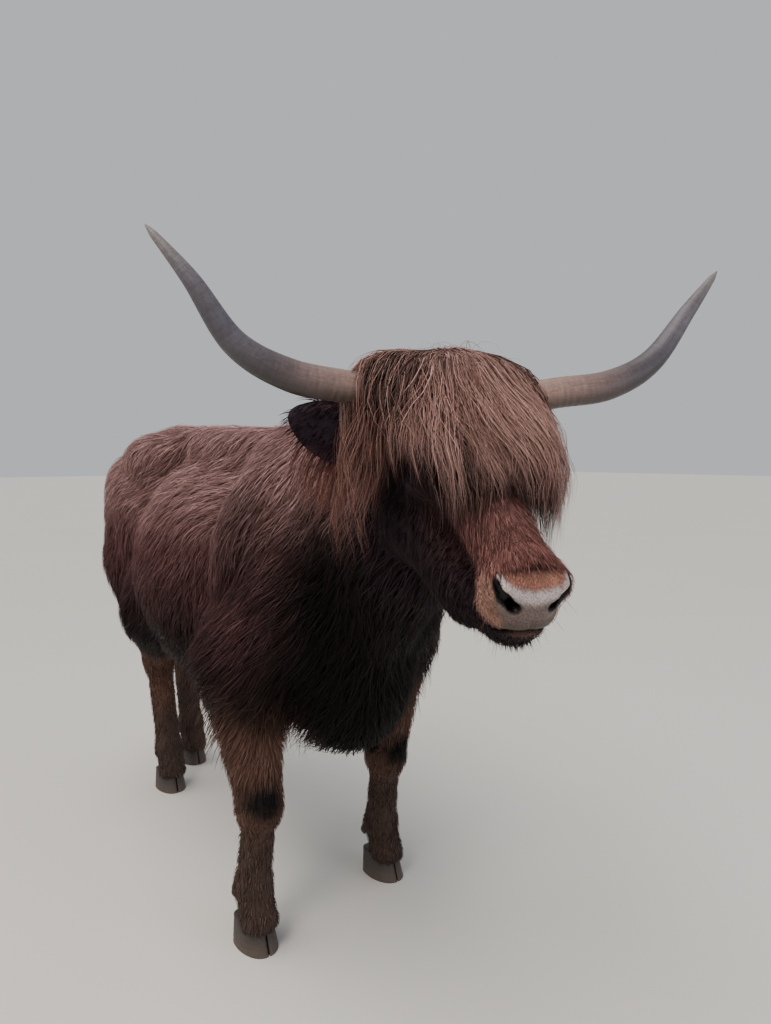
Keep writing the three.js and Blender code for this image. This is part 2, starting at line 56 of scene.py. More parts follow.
# Heights of the joints and of the claws.
KNEE = 330
HOCK = 425
HOCK_SET_BACK = 88  # how far the hock is behind its foot
ELBOW = 650
FETLOCK = 135
CLAW_TOP = 62
SKIN_END = 50  # the skin ends at this height, inside the claws
MIDDLE = 400  # the hind legs are behind this
FEET = {
    "fore_right": (-208, 6),
    "fore_left": (200, 62),
    "hind_right": (-67, 906),
    "hind_left": (80, 1076),
}
POLL = np.array([-85.0, -495.0, 1236.0])
HEAD_TURN = math.radians(21)  # towards the cow's right
HEAD_DIP = math.radians(36)  # of the face below the horizontal

# Depth of the coat on each stretch of the body.
COAT = {
    "back": 22,
    "ribs": 34,
    "belly": 52,
    "brisket": 48,
    "neck": 40,
    "rump": 28,
    "thigh": 34,
    "arm": 32,
    "shank": 12,
    "face": 12,
    "muzzle": 5,
    "cheek": 22,
}
# The share of that depth which is dense woolly undercoat. The skin's surface takes it in.
UNDERCOAT = {
    "back": 0.5,
    "ribs": 0.5,
    "belly": 0.25,
    "brisket": 0.2,
    "neck": 0.35,
    "rump": 0.5,
    "thigh": 0.45,
    "arm": 0.45,
    "shank": 0.55,
    "face": 0.35,
    "muzzle": 0.1,
    "cheek": 0.3,
}


def unit(v):
    """Vectors of length one, along the last axis."""
    return v / np.maximum(np.linalg.norm(v, axis=-1, keepdims=True), 1e-9)


def smooth(x, low, high):
    """Nothing up to low and one from high on, with a soft rise between them."""
    t = np.clip((x - low) / (high - low), 0, 1)
    return t * t * (3 - 2 * t)


# The head's frame: DOWN_FACE runs from the poll to the muzzle, OUT_FACE out of the forehead.
AHEAD = np.array([-math.sin(HEAD_TURN), -math.cos(HEAD_TURN), 0.0])
UP = np.array([0.0, 0.0, 1.0])
DOWN_FACE = AHEAD * math.cos(HEAD_DIP) - UP * math.sin(HEAD_DIP)
OUT_FACE = AHEAD * math.sin(HEAD_DIP) + UP * math.cos(HEAD_DIP)
HEAD_LEFT = np.cross(OUT_FACE, DOWN_FACE)
HEAD_AXES = np.stack([HEAD_LEFT, DOWN_FACE, OUT_FACE])


def on_head(side, along, out):
    """The plan's point at (side, along, out) in the head's frame."""
    return POLL + np.array([side, along, out], float) @ HEAD_AXES


def head_place(p):
    """(side, along, out) of points of the plan in the head's frame."""
    return (p - POLL) @ HEAD_AXES.T


EYE = (92, 190, -44)  # in the head's frame
EYE_RADIUS = 19

middle_of_eyes = sum((sum(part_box(n), Vector()) / 2 for n in ("eye_left", "eye_right")), Vector()) / 2
PLACE = np.array(middle_of_eyes) * 1000 - on_head(0, EYE[1], EYE[2])


def metres(p):
    """Points of the plan in the part's own frame."""
    return (np.asarray(p, float) + PLACE) / 1000


# ------------------------------------------------------------------ fields
# A field gives the signed distance from points to a surface, negative inside.
def rod(a, b, radius_a, radius_b, wide=1.0):
    """A tapered rod with round ends; wide stretches it sideways."""
    squash = np.array([1 / wide, 1, 1])
    start = np.array(a, float) * squash
    along = np.array(b, float) * squash - start

    def field(p):
        q = p * squash - start
        t = np.clip(q @ along / (along @ along), 0, 1)
        away = np.linalg.norm(q - t[:, None] * along, axis=1)
        return (away - radius_a - (radius_b - radius_a) * t) * min(1, wide)

    return field


def egg(centre, radii, lean=0.0):
    """An ellipsoid with radii along x, y and z, leaning about x."""
    c, s = math.cos(lean), math.sin(lean)
    turn = np.array([[1, 0, 0], [0, c, s], [0, -s, c]])
    sizes = np.array(radii, float)

    def field(p):
        q = (p - np.array(centre, float)) @ turn.T / sizes
        near = np.linalg.norm(q, axis=1)
        slope = np.linalg.norm(q / sizes, axis=1)
        return near * (near - 1) / np.maximum(slope, 1e-6)

    return field


def soft_least(d, e, width):
    """The lesser of two distances, rounded off where they are within width of each other."""
    h = np.maximum(width - np.abs(d - e), 0) / width
    return np.minimum(d, e) - h * h * width / 4


def blend(width, *fields):
    """Fields flowing into each other over the given width."""

    def field(p):
        d = fields[0](p)
        for other in fields[1:]:
            d = soft_least(d, other(p), width)
        return d

    return field


def way_out(field, p, d):
    """The way out of a field at points where its value is d."""
    return unit(np.stack([field(p + step) - d for step in np.eye(3)], axis=-1))


def both_sides(field):
    """A field drawn on the cow's left, alike on both its sides."""
    return lambda p: field(np.column_stack([np.abs(p[:, 0]), p[:, 1], p[:, 2]]))


def in_head_frame(field):
    """A field drawn in the head's frame, alike on both its sides."""

    def seen(p):
        q = head_place(p)
        q[:, 0] = np.abs(q[:, 0])
        return field(q)

    return seen


def trunk_relief(p):
    """How far the flanks stand in: the hollow before the hip bone, and behind the shoulder."""
    y, z = p[:, 1], p[:, 2]
    hollow = 18 * np.exp(-(((y - 725) / 80) ** 2) - ((z - 1000) / 85) ** 2)
    shoulder = np.exp(-(((y - 205 - 0.15 * (z - 900)) / 38) ** 2))
    shoulder = 11 * shoulder * smooth(z, 640, 780) * (1 - smooth(z, 1060, 1150))
    thigh = 12 * np.exp(-(((y - 720 + 0.25 * (z - 800)) / 45) ** 2)) * (1 - smooth(z, 820, 940))
    return (hollow + shoulder + thigh) * smooth(np.abs(p[:, 0]), 70, 150)


def trunk_field(c):
    """The barrel, withers, hips, rump, shoulders and brisket."""
    spine = BACK - 72
    whole = both_sides(
        blend(
            75,
            egg((0, 480, 800), (250 + c["ribs"], 480, 300 + c["belly"])),
            egg((0, 90, 800), (205 + c["ribs"], 270, 315 + c["brisket"])),
            rod((0, 20, spine - 12), (0, 860, spine + 16), 50 + c["back"], 50 + c["back"], 1.4),
            egg((0, 950, 950), (195 + c["rump"], 285, 215 + c["back"])),
            egg((134, 812, spine - 22), (60 + c["rump"], 95, 48 + c["back"])),
            egg((88, 1160, 1003), (64 + c["rump"], 96, 95 + c["rump"])),
            egg((135, 60, 880), (75 + c["ribs"], 150, 225), 0.25),
            rod((150, -60, 770), (215, 40, ELBOW + 10), 85 + c["arm"], 72 + c["arm"]),
            egg((0, -80, 620), (105 + c["brisket"], 130, 150 + c["brisket"])),
            egg((100, 1000, 800), (86 + c["thigh"], 195, 235), -0.2),
        )
    )
    return lambda p: whole(p) + trunk_relief(p)


def neck_field(c):
    """The neck, its crest and the dewlap under it."""
    return blend(
        110,
        rod((0, 60, 930), (-60, -330, 1070), 190 + c["neck"], 130 + c["neck"], 0.8),
        rod((0, 60, 1050), (-75, -400, 1175), 85 + c["back"], 70 + c["back"], 0.8),
        rod((0, -70, 690), (-70, -350, 910), 100 + c["brisket"], 70 + c["neck"], 0.7),
    )


def leg_field(name, c):
    """A leg from the shoulder or hip down to the claws."""
    x, y = FEET[name]
    side = math.copysign(1, x)
    fetlock = (x, y + 20, FETLOCK)
    toe = (x, y - 8, CLAW_TOP - 4)
    shank = c["shank"]
    foot = blend(14, egg(fetlock, (36 + shank, 38 + shank, 44)), rod(fetlock, toe, 32 + shank, 36 + shank))
    if name.startswith("fore"):
        elbow = (side * 215, 45, ELBOW)
        knee = (x - side * 4, y - 8, KNEE)
        feather = (x, y + 60, KNEE + 120)
        upper = blend(
            45,
            rod(elbow, knee, 78 + c["arm"], 40 + shank),
            rod((side * 215, 90, ELBOW - 20), feather, 44 + c["arm"], 18 + shank),
        )
        lower = blend(
            14,
            egg(knee, (43 + shank, 44 + shank, 58)),
            rod(knee, fetlock, 30 + shank, 32 + shank),
            foot,
        )
        return blend(24, upper, lower)
    hock = (x * 1.05, y + HOCK_SET_BACK, HOCK)
    upper = blend(
        55,
        rod((side * 150, 800, 640), hock, 105 + c["thigh"], 34 + shank, 0.75),
        rod((side * 105, 1085, 760), hock, 100 + c["thigh"], 30 + shank, 0.75),
    )
    lower = blend(
        14,
        egg(hock, (34 + shank, 48 + shank, 60)),
        rod(hock, fetlock, 33 + shank, 31 + shank),
        foot,
    )
    return blend(24, upper, lower)


def head_field(c):
    """The brow, sockets, bridge, jaw, cheeks, muzzle and chin."""
    face, muzzle, cheek = c["face"], c["muzzle"], c["cheek"]
    return in_head_frame(
        blend(
            28,
            egg((0, 70, -75), (100 + face, 110, 84 + face)),
            egg((0, 130, -55), (102 + face, 120, 54 + face)),
            rod((0, 0, -12), (80, 5, -18), 34 + face, 26 + face),
            egg((88, 190, -38), (22 + face, 46, 26 + face)),
            rod((0, 160, -56), (0, 386, -58), 52 + face, 39 + face, 1.08),
            rod((40, 110, -184 + cheek), (24, 340, -160 + cheek), 64 + cheek, 44 + face),
            egg((60, 140, -138), (30 + cheek, 90, 88 + cheek)),
            egg((0, 406, -74), (52 + muzzle, 50, 50 + muzzle)),
            egg((36, 422, -58), (22 + muzzle, 28, 24 + muzzle)),
            egg((0, 416, -102), (50 + muzzle, 42, 31)),
            egg((0, 386, -137), (42 + face, 64, 33 + face / 2)),
        )
    )


# The tail leaves the rump, turns to the right and hangs.
TAIL = np.array([(-10, 1190, 1125), (-58, 1256, 1085), (-84, 1280, 950), (-56, 1290, 700)], float)


def tail_field():
    """The tail's dock and its long thin end."""
    parts = [rod(TAIL[0], TAIL[1], 30, 26), rod(TAIL[1], TAIL[2], 26, 18), rod(TAIL[2], TAIL[3], 18, 11)]
    return blend(20, *parts)


def swell(q, centre, sizes):
    """One at a place in the head's frame, falling smoothly to nothing around it."""
    away = (q - np.array(centre, float)) / np.array(sizes, float)
    return np.exp(-np.sum(away * away, axis=1))


def mouth_at(q):
    """Height of the line between the lips, in the head's frame."""
    return -130 + 26 * np.clip((q[:, 1] - 330) / 125, 0, 1) ** 2 - 18 * (q[:, 0] / 60) ** 2


def over_pad(q):
    """Height over the top edge of the nose's bare skin, which rises towards the nostrils."""
    return q[:, 2] + 43 - 13 * np.abs(q[:, 0] / 45) ** 1.2


def face_detail(q):
    """How far the skin of the face stands in, with q on the head's left."""
    on_muzzle = 1 / (1 + np.exp(-(q[:, 1] - 345) / 7))
    mouth = 8 * np.exp(-(((q[:, 2] - mouth_at(q)) / 3.2) ** 2)) * on_muzzle
    groove = 1.5 * np.exp(-((q[:, 0] / 3.5) ** 2)) * np.exp(-(((q[:, 2] + 88) / 16) ** 2)) * on_muzzle
    dent = 3 * swell(q, (0, 452, -40), (22, 26, 10)) + 3 * swell(q, (40, 450, -84), (14, 30, 8))
    dent += 5 * swell(q, (48, 446, -62), (13, 18, 20))
    rim = 4 * swell(q, (44, 438, -36), (16, 22, 8)) + 5 * swell(q, (58, 424, -56), (9, 20, 16))
    lip = 2.5 * swell(q, (24, 456, -94), (22, 20, 8)) + 3 * swell(q, (0, 460, -116), (40, 24, 10))
    return mouth + groove + dent - rim - lip


# A nostril is a curved slit, wide at its inner end, with a passage that goes in from there.
nostril = blend(5, rod((28, 455, -65), (43, 444, -54), 6, 7.5), rod((43, 444, -54), (55, 428, -37), 7.5, 3.0))
nostril_depth = rod((30, 450, -64), (28, 418, -68), 7.5, 7)


def whole_head(c):
    """The head with its poll, a broad bony ridge between the horns under a cushion of wool."""
    return blend(40, head_field(c), in_head_frame(egg((0, 24, 8), (108, 70, 70))))


def skin_of_head(c):
    """The head with its nostrils, mouth and the almond openings of its lids."""
    bare = whole_head(c)
    lids = egg(EYE, (EYE_RADIUS + 5, EYE_RADIUS + 6, EYE_RADIUS + 4))
    opening = egg((EYE[0] + 13, EYE[1], EYE[2] + 2), (26, 17, 8.5))
    detail_reach = 60  # farther off, the face's detail makes no difference

    def field(p):
        d = bare(p)
        near = d < detail_reach
        if not near.any():
            return d
        q = head_place(p[near])
        q[:, 0] = np.abs(q[:, 0])
        face = soft_least(d[near] + face_detail(q), lids(q), 14)
        for hollow in (nostril, nostril_depth, opening):
            face = -soft_least(-face, hollow(q), 5)
        d[near] = face
        return d

    return field


def layer(furred):
    """The depth of coat that a surface takes in: the undercoat for 0, all of it for 1."""
    return {name: depth * (furred or UNDERCOAT[name]) for name, depth in COAT.items()}


def whole_body(furred):
    """The whole body: its skin for 0, or the outside of its coat for 1."""
    c = layer(furred)
    legs = [leg_field(name, c) for name in FEET]
    head = head_field(c) if furred else skin_of_head(c)
    return blend(60, trunk_field(c), neck_field(c), *legs, head)


skin_only = whole_body(0)
coat_tips = whole_body(1)
tail_only = tail_field()


def body(p):
    """Skin and tail together, ending flat inside the claws."""
    return np.maximum(np.minimum(skin_only(p), tail_only(p)), SKIN_END - p[:, 2])


# ------------------------------------------------------------------ the field on a grid
def stops(low, high, coarse, fine):
    """Grid stops from low to high, coarse but for the (from, to, step) stretches of fine."""
    made = [low]
    while made[-1] < high:
        step = coarse
        for start, end, small in fine:
            if start <= made[-1] < end:
                step = min(step, small)
        made.append(made[-1] + step)
    return np.array(made, float)


# The grid is finest at the muzzle, whose nostrils and lips are the smallest shapes of the skin.
STEP = 11
MUZZLE = 3.2
grid = [
    stops(-390, 390, STEP, [(-290, -120, MUZZLE), (-120, 20, 6)]),
    stops(-920, 1340, STEP, [(-890, -745, MUZZLE), (-745, -470, 6)]),
    stops(44, 1350, STEP, [(850, 1065, MUZZLE), (1065, 1250, 6)]),
]


def points_of(axes):
    """Every point of a grid."""
    return np.stack(np.meshgrid(*axes, indexing="ij"), axis=-1).reshape(-1, 3)


def in_batches(field, p):
    """The field at points, worked out in parts that fit in memory."""
    return np.concatenate([field(part) for part in np.array_split(p, max(1, len(p) // 400000))])


def read_grid(axes, value, p):
    """The grid's value at points, between its stops."""
    low = []
    share = []
    for i in range(3):
        at = np.clip(np.searchsorted(axes[i], p[:, i]) - 1, 0, len(axes[i]) - 2)
        low.append(at)
        share.append(np.clip((p[:, i] - axes[i][at]) / (axes[i][at + 1] - axes[i][at]), 0, 1))
    total = np.zeros(len(p))
    for corner in range(8):
        step = [(corner >> i) & 1 for i in range(3)]
        weight = np.prod([share[i] if step[i] else 1 - share[i] for i in range(3)], axis=0)
        total += weight * value[low[0] + step[0], low[1] + step[1], low[2] + step[2]]
    return total


def field_on(axes, field):
    """The field on the grid, exact near the surface and rough far from it."""
    rough_step = 40.0
    exact_within = 75
    rough_axes = [np.arange(a[0] - rough_step, a[-1] + 2 * rough_step, rough_step) for a in axes]
    rough = in_batches(field, points_of(rough_axes)).reshape([len(a) for a in rough_axes])
    p = points_of(axes)
    value = read_grid(rough_axes, rough, p)
    near = np.abs(value) < exact_within
    value[near] = in_batches(field, p[near])
    return value.reshape([len(a) for a in axes])


body_value = field_on(grid, body)


def depth_and_normal(p):
    """Height of points over the skin and the way out of it there."""
    d = read_grid(grid, body_value, p)
    slope = []
    for step in np.eye(3) * 7.0:
        slope.append(read_grid(grid, body_value, p + step) - read_grid(grid, body_value, p - step))
    return d, unit(np.stack(slope, axis=-1))


# ------------------------------------------------------------------ the skin's surface
def surface_of(axes, value):
    """Points and quads of the zero surface of a field on a grid."""
    inside = value < 0
    n = np.array(value.shape)
    corners = np.array([[(c >> i) & 1 for i in range(3)] for c in range(8)])
    count = np.zeros(n - 1, np.int8)
    for c in corners:
        count += inside[c[0] : n[0] - 1 + c[0], c[1] : n[1] - 1 + c[1], c[2] : n[2] - 1 + c[2]]
    mixed = (count > 0) & (count < 8)
    cells = np.argwhere(mixed)
    index = np.full(n - 1, -1)
    index[mixed] = np.arange(len(cells))
    total = np.zeros((len(cells), 3))
    hits = np.zeros(len(cells))
    for a in range(8):
        for bit in range(3):
            if corners[a][bit]:
                continue
            first = cells + corners[a]
            second = first.copy()
            second[:, bit] += 1
            va = value[tuple(first.T)]
            vb = value[tuple(second.T)]
            cross = (va < 0) != (vb < 0)
            t = (va[cross] / (va[cross] - vb[cross]))[:, None]
            start = np.stack([axes[i][first[cross, i]] for i in range(3)], axis=-1)
            end = np.stack([axes[i][second[cross, i]] for i in range(3)], axis=-1)
            total[cross] += start + (end - start) * t
            hits[cross] += 1
    places = total / hits[:, None]
    quads = []
    for axis in range(3):
        b, c = (axis + 1) % 3, (axis + 2) % 3
        low = np.take(inside, np.arange(n[axis] - 1), axis)
        high = np.take(inside, np.arange(1, n[axis]), axis)
        for starts_in in (True, False):
            edges = np.argwhere((low == starts_in) & (high != starts_in))
            edges = edges[(edges[:, b] > 0) & (edges[:, c] > 0)]
            edges = edges[(edges[:, b] < n[b] - 1) & (edges[:, c] < n[c] - 1)]
            ring = []
            for s, t in ((0, 0), (1, 0), (1, 1), (0, 1)):
                cell = edges.copy()
                cell[:, b] -= s
                cell[:, c] -= t
                ring.append(index[tuple(cell.T)])
            quads.append(np.stack(ring if starts_in else ring[::-1], axis=-1))
    return places, np.concatenate(quads)


def settle(p, field, rounds=2):
    """Moves points onto a field's surface."""
    for _ in range(rounds):
        here = in_batches(field, p)
        slope = np.stack([(in_batches(field, p + e) - here) / 0.5 for e in np.eye(3) * 0.5], axis=-1)
        p = p - slope * (here / np.maximum((slope**2).sum(1), 0.1))[:, None].clip(-4, 4)
    return p


skin_points, skin_quads = surface_of(grid, body_value)


# ------------------------------------------------------------------ colours of the coat
def linear(colour):
    """A linear colour from an sRGB hex value."""
    parts = np.array([int(colour[i : i + 2], 16) / 255 for i in (1, 3, 5)])
    return np.where(parts <= 0.04045, parts / 12.92, ((parts + 0.055) / 1.055) ** 2.4)


# Colours of the hair and the bare skin. Some stand in for light: the back's colour is a painted highlight,
# the shade colour is painted shade, the rim colour is painted shade and painted shadow in creases, hollows
# and under overhangs, the pale edge of the nose is a painted highlight, and the face's colour is dark hair
# with painted shade.
HAIR = {
    "body": "#593b3c",
    "back": "#8d6c6a",
    "shade": "#0c0708",
    "leg": "#5c4238",
    "shank": "#44352f",
    "knee": "#0b0707",
    "face": "#20141a",
    "bridge": "#66433f",
    "nose": "#9a6c5e",
    "muzzle": "#8f6c60",
    "forelock": "#7d5f58",
    "brow": "#6d463d",
    "pad": "#6f5f5b",
    "painted_pad_highlight": "#c6b8b7",
    "pad_low": "#4d3f3b",
    "rim": "#0b0707",
}
HAIR = {name: linear(value) for name, value in HAIR.items()}


def ripple(p, size, seed=0.0):
    """Soft noise between -1 and 1 with features of about the given size."""
    q = p / size
    a = np.sin(q[:, 0] * 1.7 + 1.3 * np.sin(q[:, 1] * 1.1 + seed) + seed)
    b = np.sin(q[:, 1] * 1.5 + 1.4 * np.sin(q[:, 2] * 1.3 - seed) + 2.1 + seed)
    c = np.sin(q[:, 2] * 1.6 + 1.2 * np.sin(q[:, 0] * 1.2 + seed) + 4.2 - seed)
    return (a + b + c) / 3


def on_pad(q):
    """One on the bare skin of the nose, for points in the head's frame."""
    side = np.abs(q[:, 0])
    half = 36 + 17 * smooth(q[:, 2], -100, -62)
    down_to_mouth = smooth(q[:, 2] - mouth_at(q), -1, 3)
    within = (1 - smooth(over_pad(q), -3, 3)) * (1 - smooth(side - half, -4, 4))
    return within * down_to_mouth * smooth(q[:, 1], 416, 426)


def leg_share(p):
    """One on the legs, falling to nothing where they join the body."""
    near = np.full(len(p), 1e9)
    for x, y in FEET.values():
        lean = HOCK_SET_BACK * smooth(p[:, 2], FETLOCK, HOCK) if y > MIDDLE else 30
        near = np.minimum(near, np.hypot(p[:, 0] - x, p[:, 1] - y - lean))
    return (1 - smooth(p[:, 2], 470, 690)) * (1 - smooth(near, 110, 210))


def toward(colour, name, share):
    """Colours moved by a share of the way to a named colour of the hair."""
    share = np.clip(share, 0, 1)[:, None]
    return colour * (1 - share) + HAIR[name] * share


def painted_light_of_body(p):
    """A back lightened as a painted highlight, painted shade over the chest, the neck's front, the shoulders
    and the low flanks (the chest's hair is darker too), brown legs and black knees.
    """
    made = np.tile(HAIR["body"], (len(p), 1))
    # Painted highlight: the hair is made lighter towards the top of the back, where the light falls.
    made = toward(made, "back", smooth(p[:, 2], 860, 1080))
    # Painted shade over the chest and the front and underside of the neck, whose hair is darker too.
    front = 1 - smooth(p[:, 1] + 0.9 * (np.abs(p[:, 0]) - 150), -190, 40)
    edge = 150 * smooth(-p[:, 1], 60, 260)  # the painted shade of the chest reaches higher up the neck, as the head's painted shadow
    low = 1 - smooth(p[:, 2] - edge, 790, 1050)
    made = toward(made, "shade", 0.97 * front * low)
    # Painted shade over the shoulder.
    shoulder = np.exp(-(((p[:, 1] - 10) / 170) ** 2)) * smooth(p[:, 2], 740, 880)
    shoulder = shoulder * (1 - smooth(p[:, 2], 1030, 1130))
    made = toward(made, "shade", 0.6 * shoulder)
    # Painted shade under the belly and low on the flanks, deepest between the legs.
    between = 1 - smooth(np.abs(p[:, 0]), 60, 190)
    made = toward(made, "shade", (0.93 + 0.07 * between) * (1 - smooth(p[:, 2], 630, 880)))
    made = toward(made, "leg", leg_share(p))
    made = toward(made, "shank", 1 - smooth(p[:, 2], 230, 330))
    for x, y in (FEET["fore_right"], FEET["fore_left"]):
        knee = (p - (x * 1.04, y - 61, KNEE + 32)) / (56, 60, 42)
        made = toward(made, "knee", 1.3 * np.exp(-np.sum(knee * knee, axis=1)))
    return made


def colours_with_painted_light(p):
    """The colour of the hair, or of bare skin, at points of the body, with painted shade, painted shadow and
    painted highlights added.
    """
    q = head_place(p)
    q[:, 0] = np.abs(q[:, 0])
    made = painted_light_of_body(p)
    on_face = smooth(q[:, 1], 20, 90) * (1 - smooth(-q[:, 2], 300, 400)) * (p[:, 1] < -380)
    # The face's hair is dark, and is darkened further as painted shade.
    made = toward(made, "face", on_face)
    made = toward(made, "bridge", 0.45 * swell(q, (90, 280, -80), (70, 70, 36)) * on_face)
    made = toward(made, "bridge", smooth(q[:, 1], 235, 320) * smooth(q[:, 2], -84, -48) * on_face)
    # Under the fringe that ends the bridge, the front of the muzzle has only short pale fuzz.
    front_face = smooth(q[:, 1], 416, 426) * (1 - smooth(q[:, 0], 50, 62))
    made = toward(made, "nose", front_face * smooth(over_pad(q), -4, 2) * on_face)
    # Painted shadow under the fringe that overhangs the end of the bridge.
    made = toward(made, "rim", 0.9 * swell(q, (0, 423, -19), (54, 8, 10)) * on_face)
    muzzle = smooth(q[:, 1], 384, 418) * smooth(q[:, 2], -118, -98) * (1 - smooth(q[:, 2], -50, -30))
    made = toward(made, "muzzle", muzzle * (1 - front_face * smooth(over_pad(q), -4, 2)) * on_face)
    made = made * (1 + 0.16 * ripple(p, 70) + 0.1 * ripple(p, 23, 2.0))[:, None]
    # Bare skin: the nose with a painted highlight along its top edge and a darker lower part, the lips with
    # painted shade along the mouth's line, and the nostrils with painted shade inside.
    pad = on_pad(q) * on_face
    made = toward(made, "pad", pad)
    # Painted highlight along the top edge of the nose.
    made = toward(made, "painted_pad_highlight", 0.9 * pad * smooth(over_pad(q), -22, -9))
    made = toward(made, "pad_low", pad * (1 - smooth(q[:, 2], -100, -74)))
    # Painted shade along the line between the lips.
    lips = np.exp(-(((q[:, 2] - mouth_at(q)) / 4) ** 2)) * smooth(q[:, 1], 380, 410) * on_face
    made = toward(made, "rim", 0.6 * lips)
    # Painted shade inside the nostrils.
    hollow = np.minimum(nostril(q), nostril_depth(q))
    return toward(made, "rim", (1 - smooth(hollow, 1.5, 4)) * on_face)


# ------------------------------------------------------------------ meshes
def mesh_piece(name, points, faces, material, slot, replaced=(), smooth_faces=True):
    """A mesh object on the part's root; points in metres, faces with all one corner count."""
    points = np.asarray(points, np.float32)
    faces = np.asarray(faces, np.int32)
    mesh = bpy.data.meshes.new(name)
    mesh.vertices.add(len(points))
    mesh.vertices.foreach_set("co", points.ravel())
    mesh.loops.add(faces.size)
    mesh.loops.foreach_set("vertex_index", faces.ravel())
    mesh.polygons.add(len(faces))
    corners = faces.shape[1]
    mesh.polygons.foreach_set("loop_start", np.arange(0, faces.size, corners, dtype=np.int32))
    mesh.polygons.foreach_set("loop_total", np.full(len(faces), corners, dtype=np.int32))
    mesh.polygons.foreach_set("use_smooth", np.full(len(faces), smooth_faces))
    mesh.update(calc_edges=True)
    mesh.materials.append(material)
    piece = bpy.data.objects.new(name, mesh)
    bpy.context.scene.collection.objects.link(piece)
    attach(piece, "root")
    if replaced:
        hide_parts(*replaced)
    return piece


def give_colour(piece, name, colours):
    """A colour for every point of a piece, which its material reads."""
    data = np.ones((len(colours), 4), np.float32)
    data[:, :3] = colours
    layer = piece.data.color_attributes.new(name, "FLOAT_COLOR", "POINT")
    layer.data.foreach_set("color", data.ravel())


def give_number(piece, name, numbers):
    """A number for every point of a piece, which its material reads."""
    layer = piece.data.attributes.new(name, "FLOAT", "POINT")
    layer.data.foreach_set("value", np.asarray(numbers, np.float32))


def give_map(piece, name, places):
    """A UV map from one place for each point."""
    loops = np.empty(len(piece.data.loops), np.int32)
    piece.data.loops.foreach_get("vertex_index", loops)
    layer = piece.data.uv_layers.new(name=name)
    layer.data.foreach_set("uv", np.asarray(places, np.float32)[loops].ravel())


def give_place(piece, name, places):
    """A place or direction for every point of a piece, which its material reads."""
    layer = piece.data.attributes.new(name, "FLOAT_VECTOR", "POINT")
    layer.data.foreach_set("vector", np.asarray(places, np.float32).ravel())


# ------------------------------------------------------------------ materials
def new_material(name):
    """An empty material with its output, for node() to fill."""
    made = bpy.data.materials.new(name)
    made.use_nodes = True
    made.node_tree.nodes.clear()
    return made


def node(material, kind, settings=None, **links):
    """Adds a node: settings by property or socket name, links by socket name."""
    tree = material.node_tree
    made = tree.nodes.new(kind)
    for name, value in (settings or {}).items():
        if isinstance(name, int) or name in made.inputs:
            made.inputs[name].default_value = value
        else:
            setattr(made, name, value)
    for name, source in links.items():
        socket = made.inputs[int(name[1:])] if name[0] == "_" else made.inputs[name.replace("_", " ")]
        tree.links.new(source, socket)
    return made


def shade(material, surface):
    """The material, finished with the surface that it shows."""
    node(material, "ShaderNodeOutputMaterial", Surface=surface.outputs[0])
    return material


def rgba(colour):
    """A linear colour with its opacity, for a node's socket."""
    return (*linear(colour), 1.0)


def cow_hair():
    """Long cattle hair: dull and soft, its fine hairs side by side in paler and darker tones,
    with only a faint gleam along each lock."""
    m = new_material("cow_hair")
    colour = node(m, "ShaderNodeAttribute", {"attribute_name": "hair"})
    strand = node(m, "ShaderNodeUVMap", {"uv_map": "Strand"})
    # One unit of the map is a millimetre. Real hairs are under 0.1 mm wide, too fine to show, so
    # they are drawn 1.6 mm wide and 40 mm long.
    place = node(m, "ShaderNodeMapping", {"Scale": (0.6, 0.025, 1.0)}, Vector=strand.outputs[0])
    hairs = node(m, "ShaderNodeTexNoise", {"Scale": 1.0, "Detail": 3.0}, Vector=place.outputs[0])
    tone = node(
        m,
        "ShaderNodeMapRange",
        {"From Min": 0.3, "From Max": 0.7, "To Min": 0.5, "To Max": 1.6},
        Value=hairs.outputs[0],
    )
    tinted = node(
        m, "ShaderNodeVectorMath", {"operation": "SCALE"}, _0=colour.outputs["Color"], Scale=tone.outputs[0]
    )
    bump = node(m, "ShaderNodeBump", {"Strength": 0.45, "Distance": 0.0007}, Height=hairs.outputs[0])
    surface = node(
        m,
        "ShaderNodeBsdfPrincipled",
        {"Roughness": 0.6, "IOR": 1.55, "Specular IOR Level": 0.13},
        Base_Color=tinted.outputs[0],
        Normal=bump.outputs[0],
    )
    return shade(m, surface)


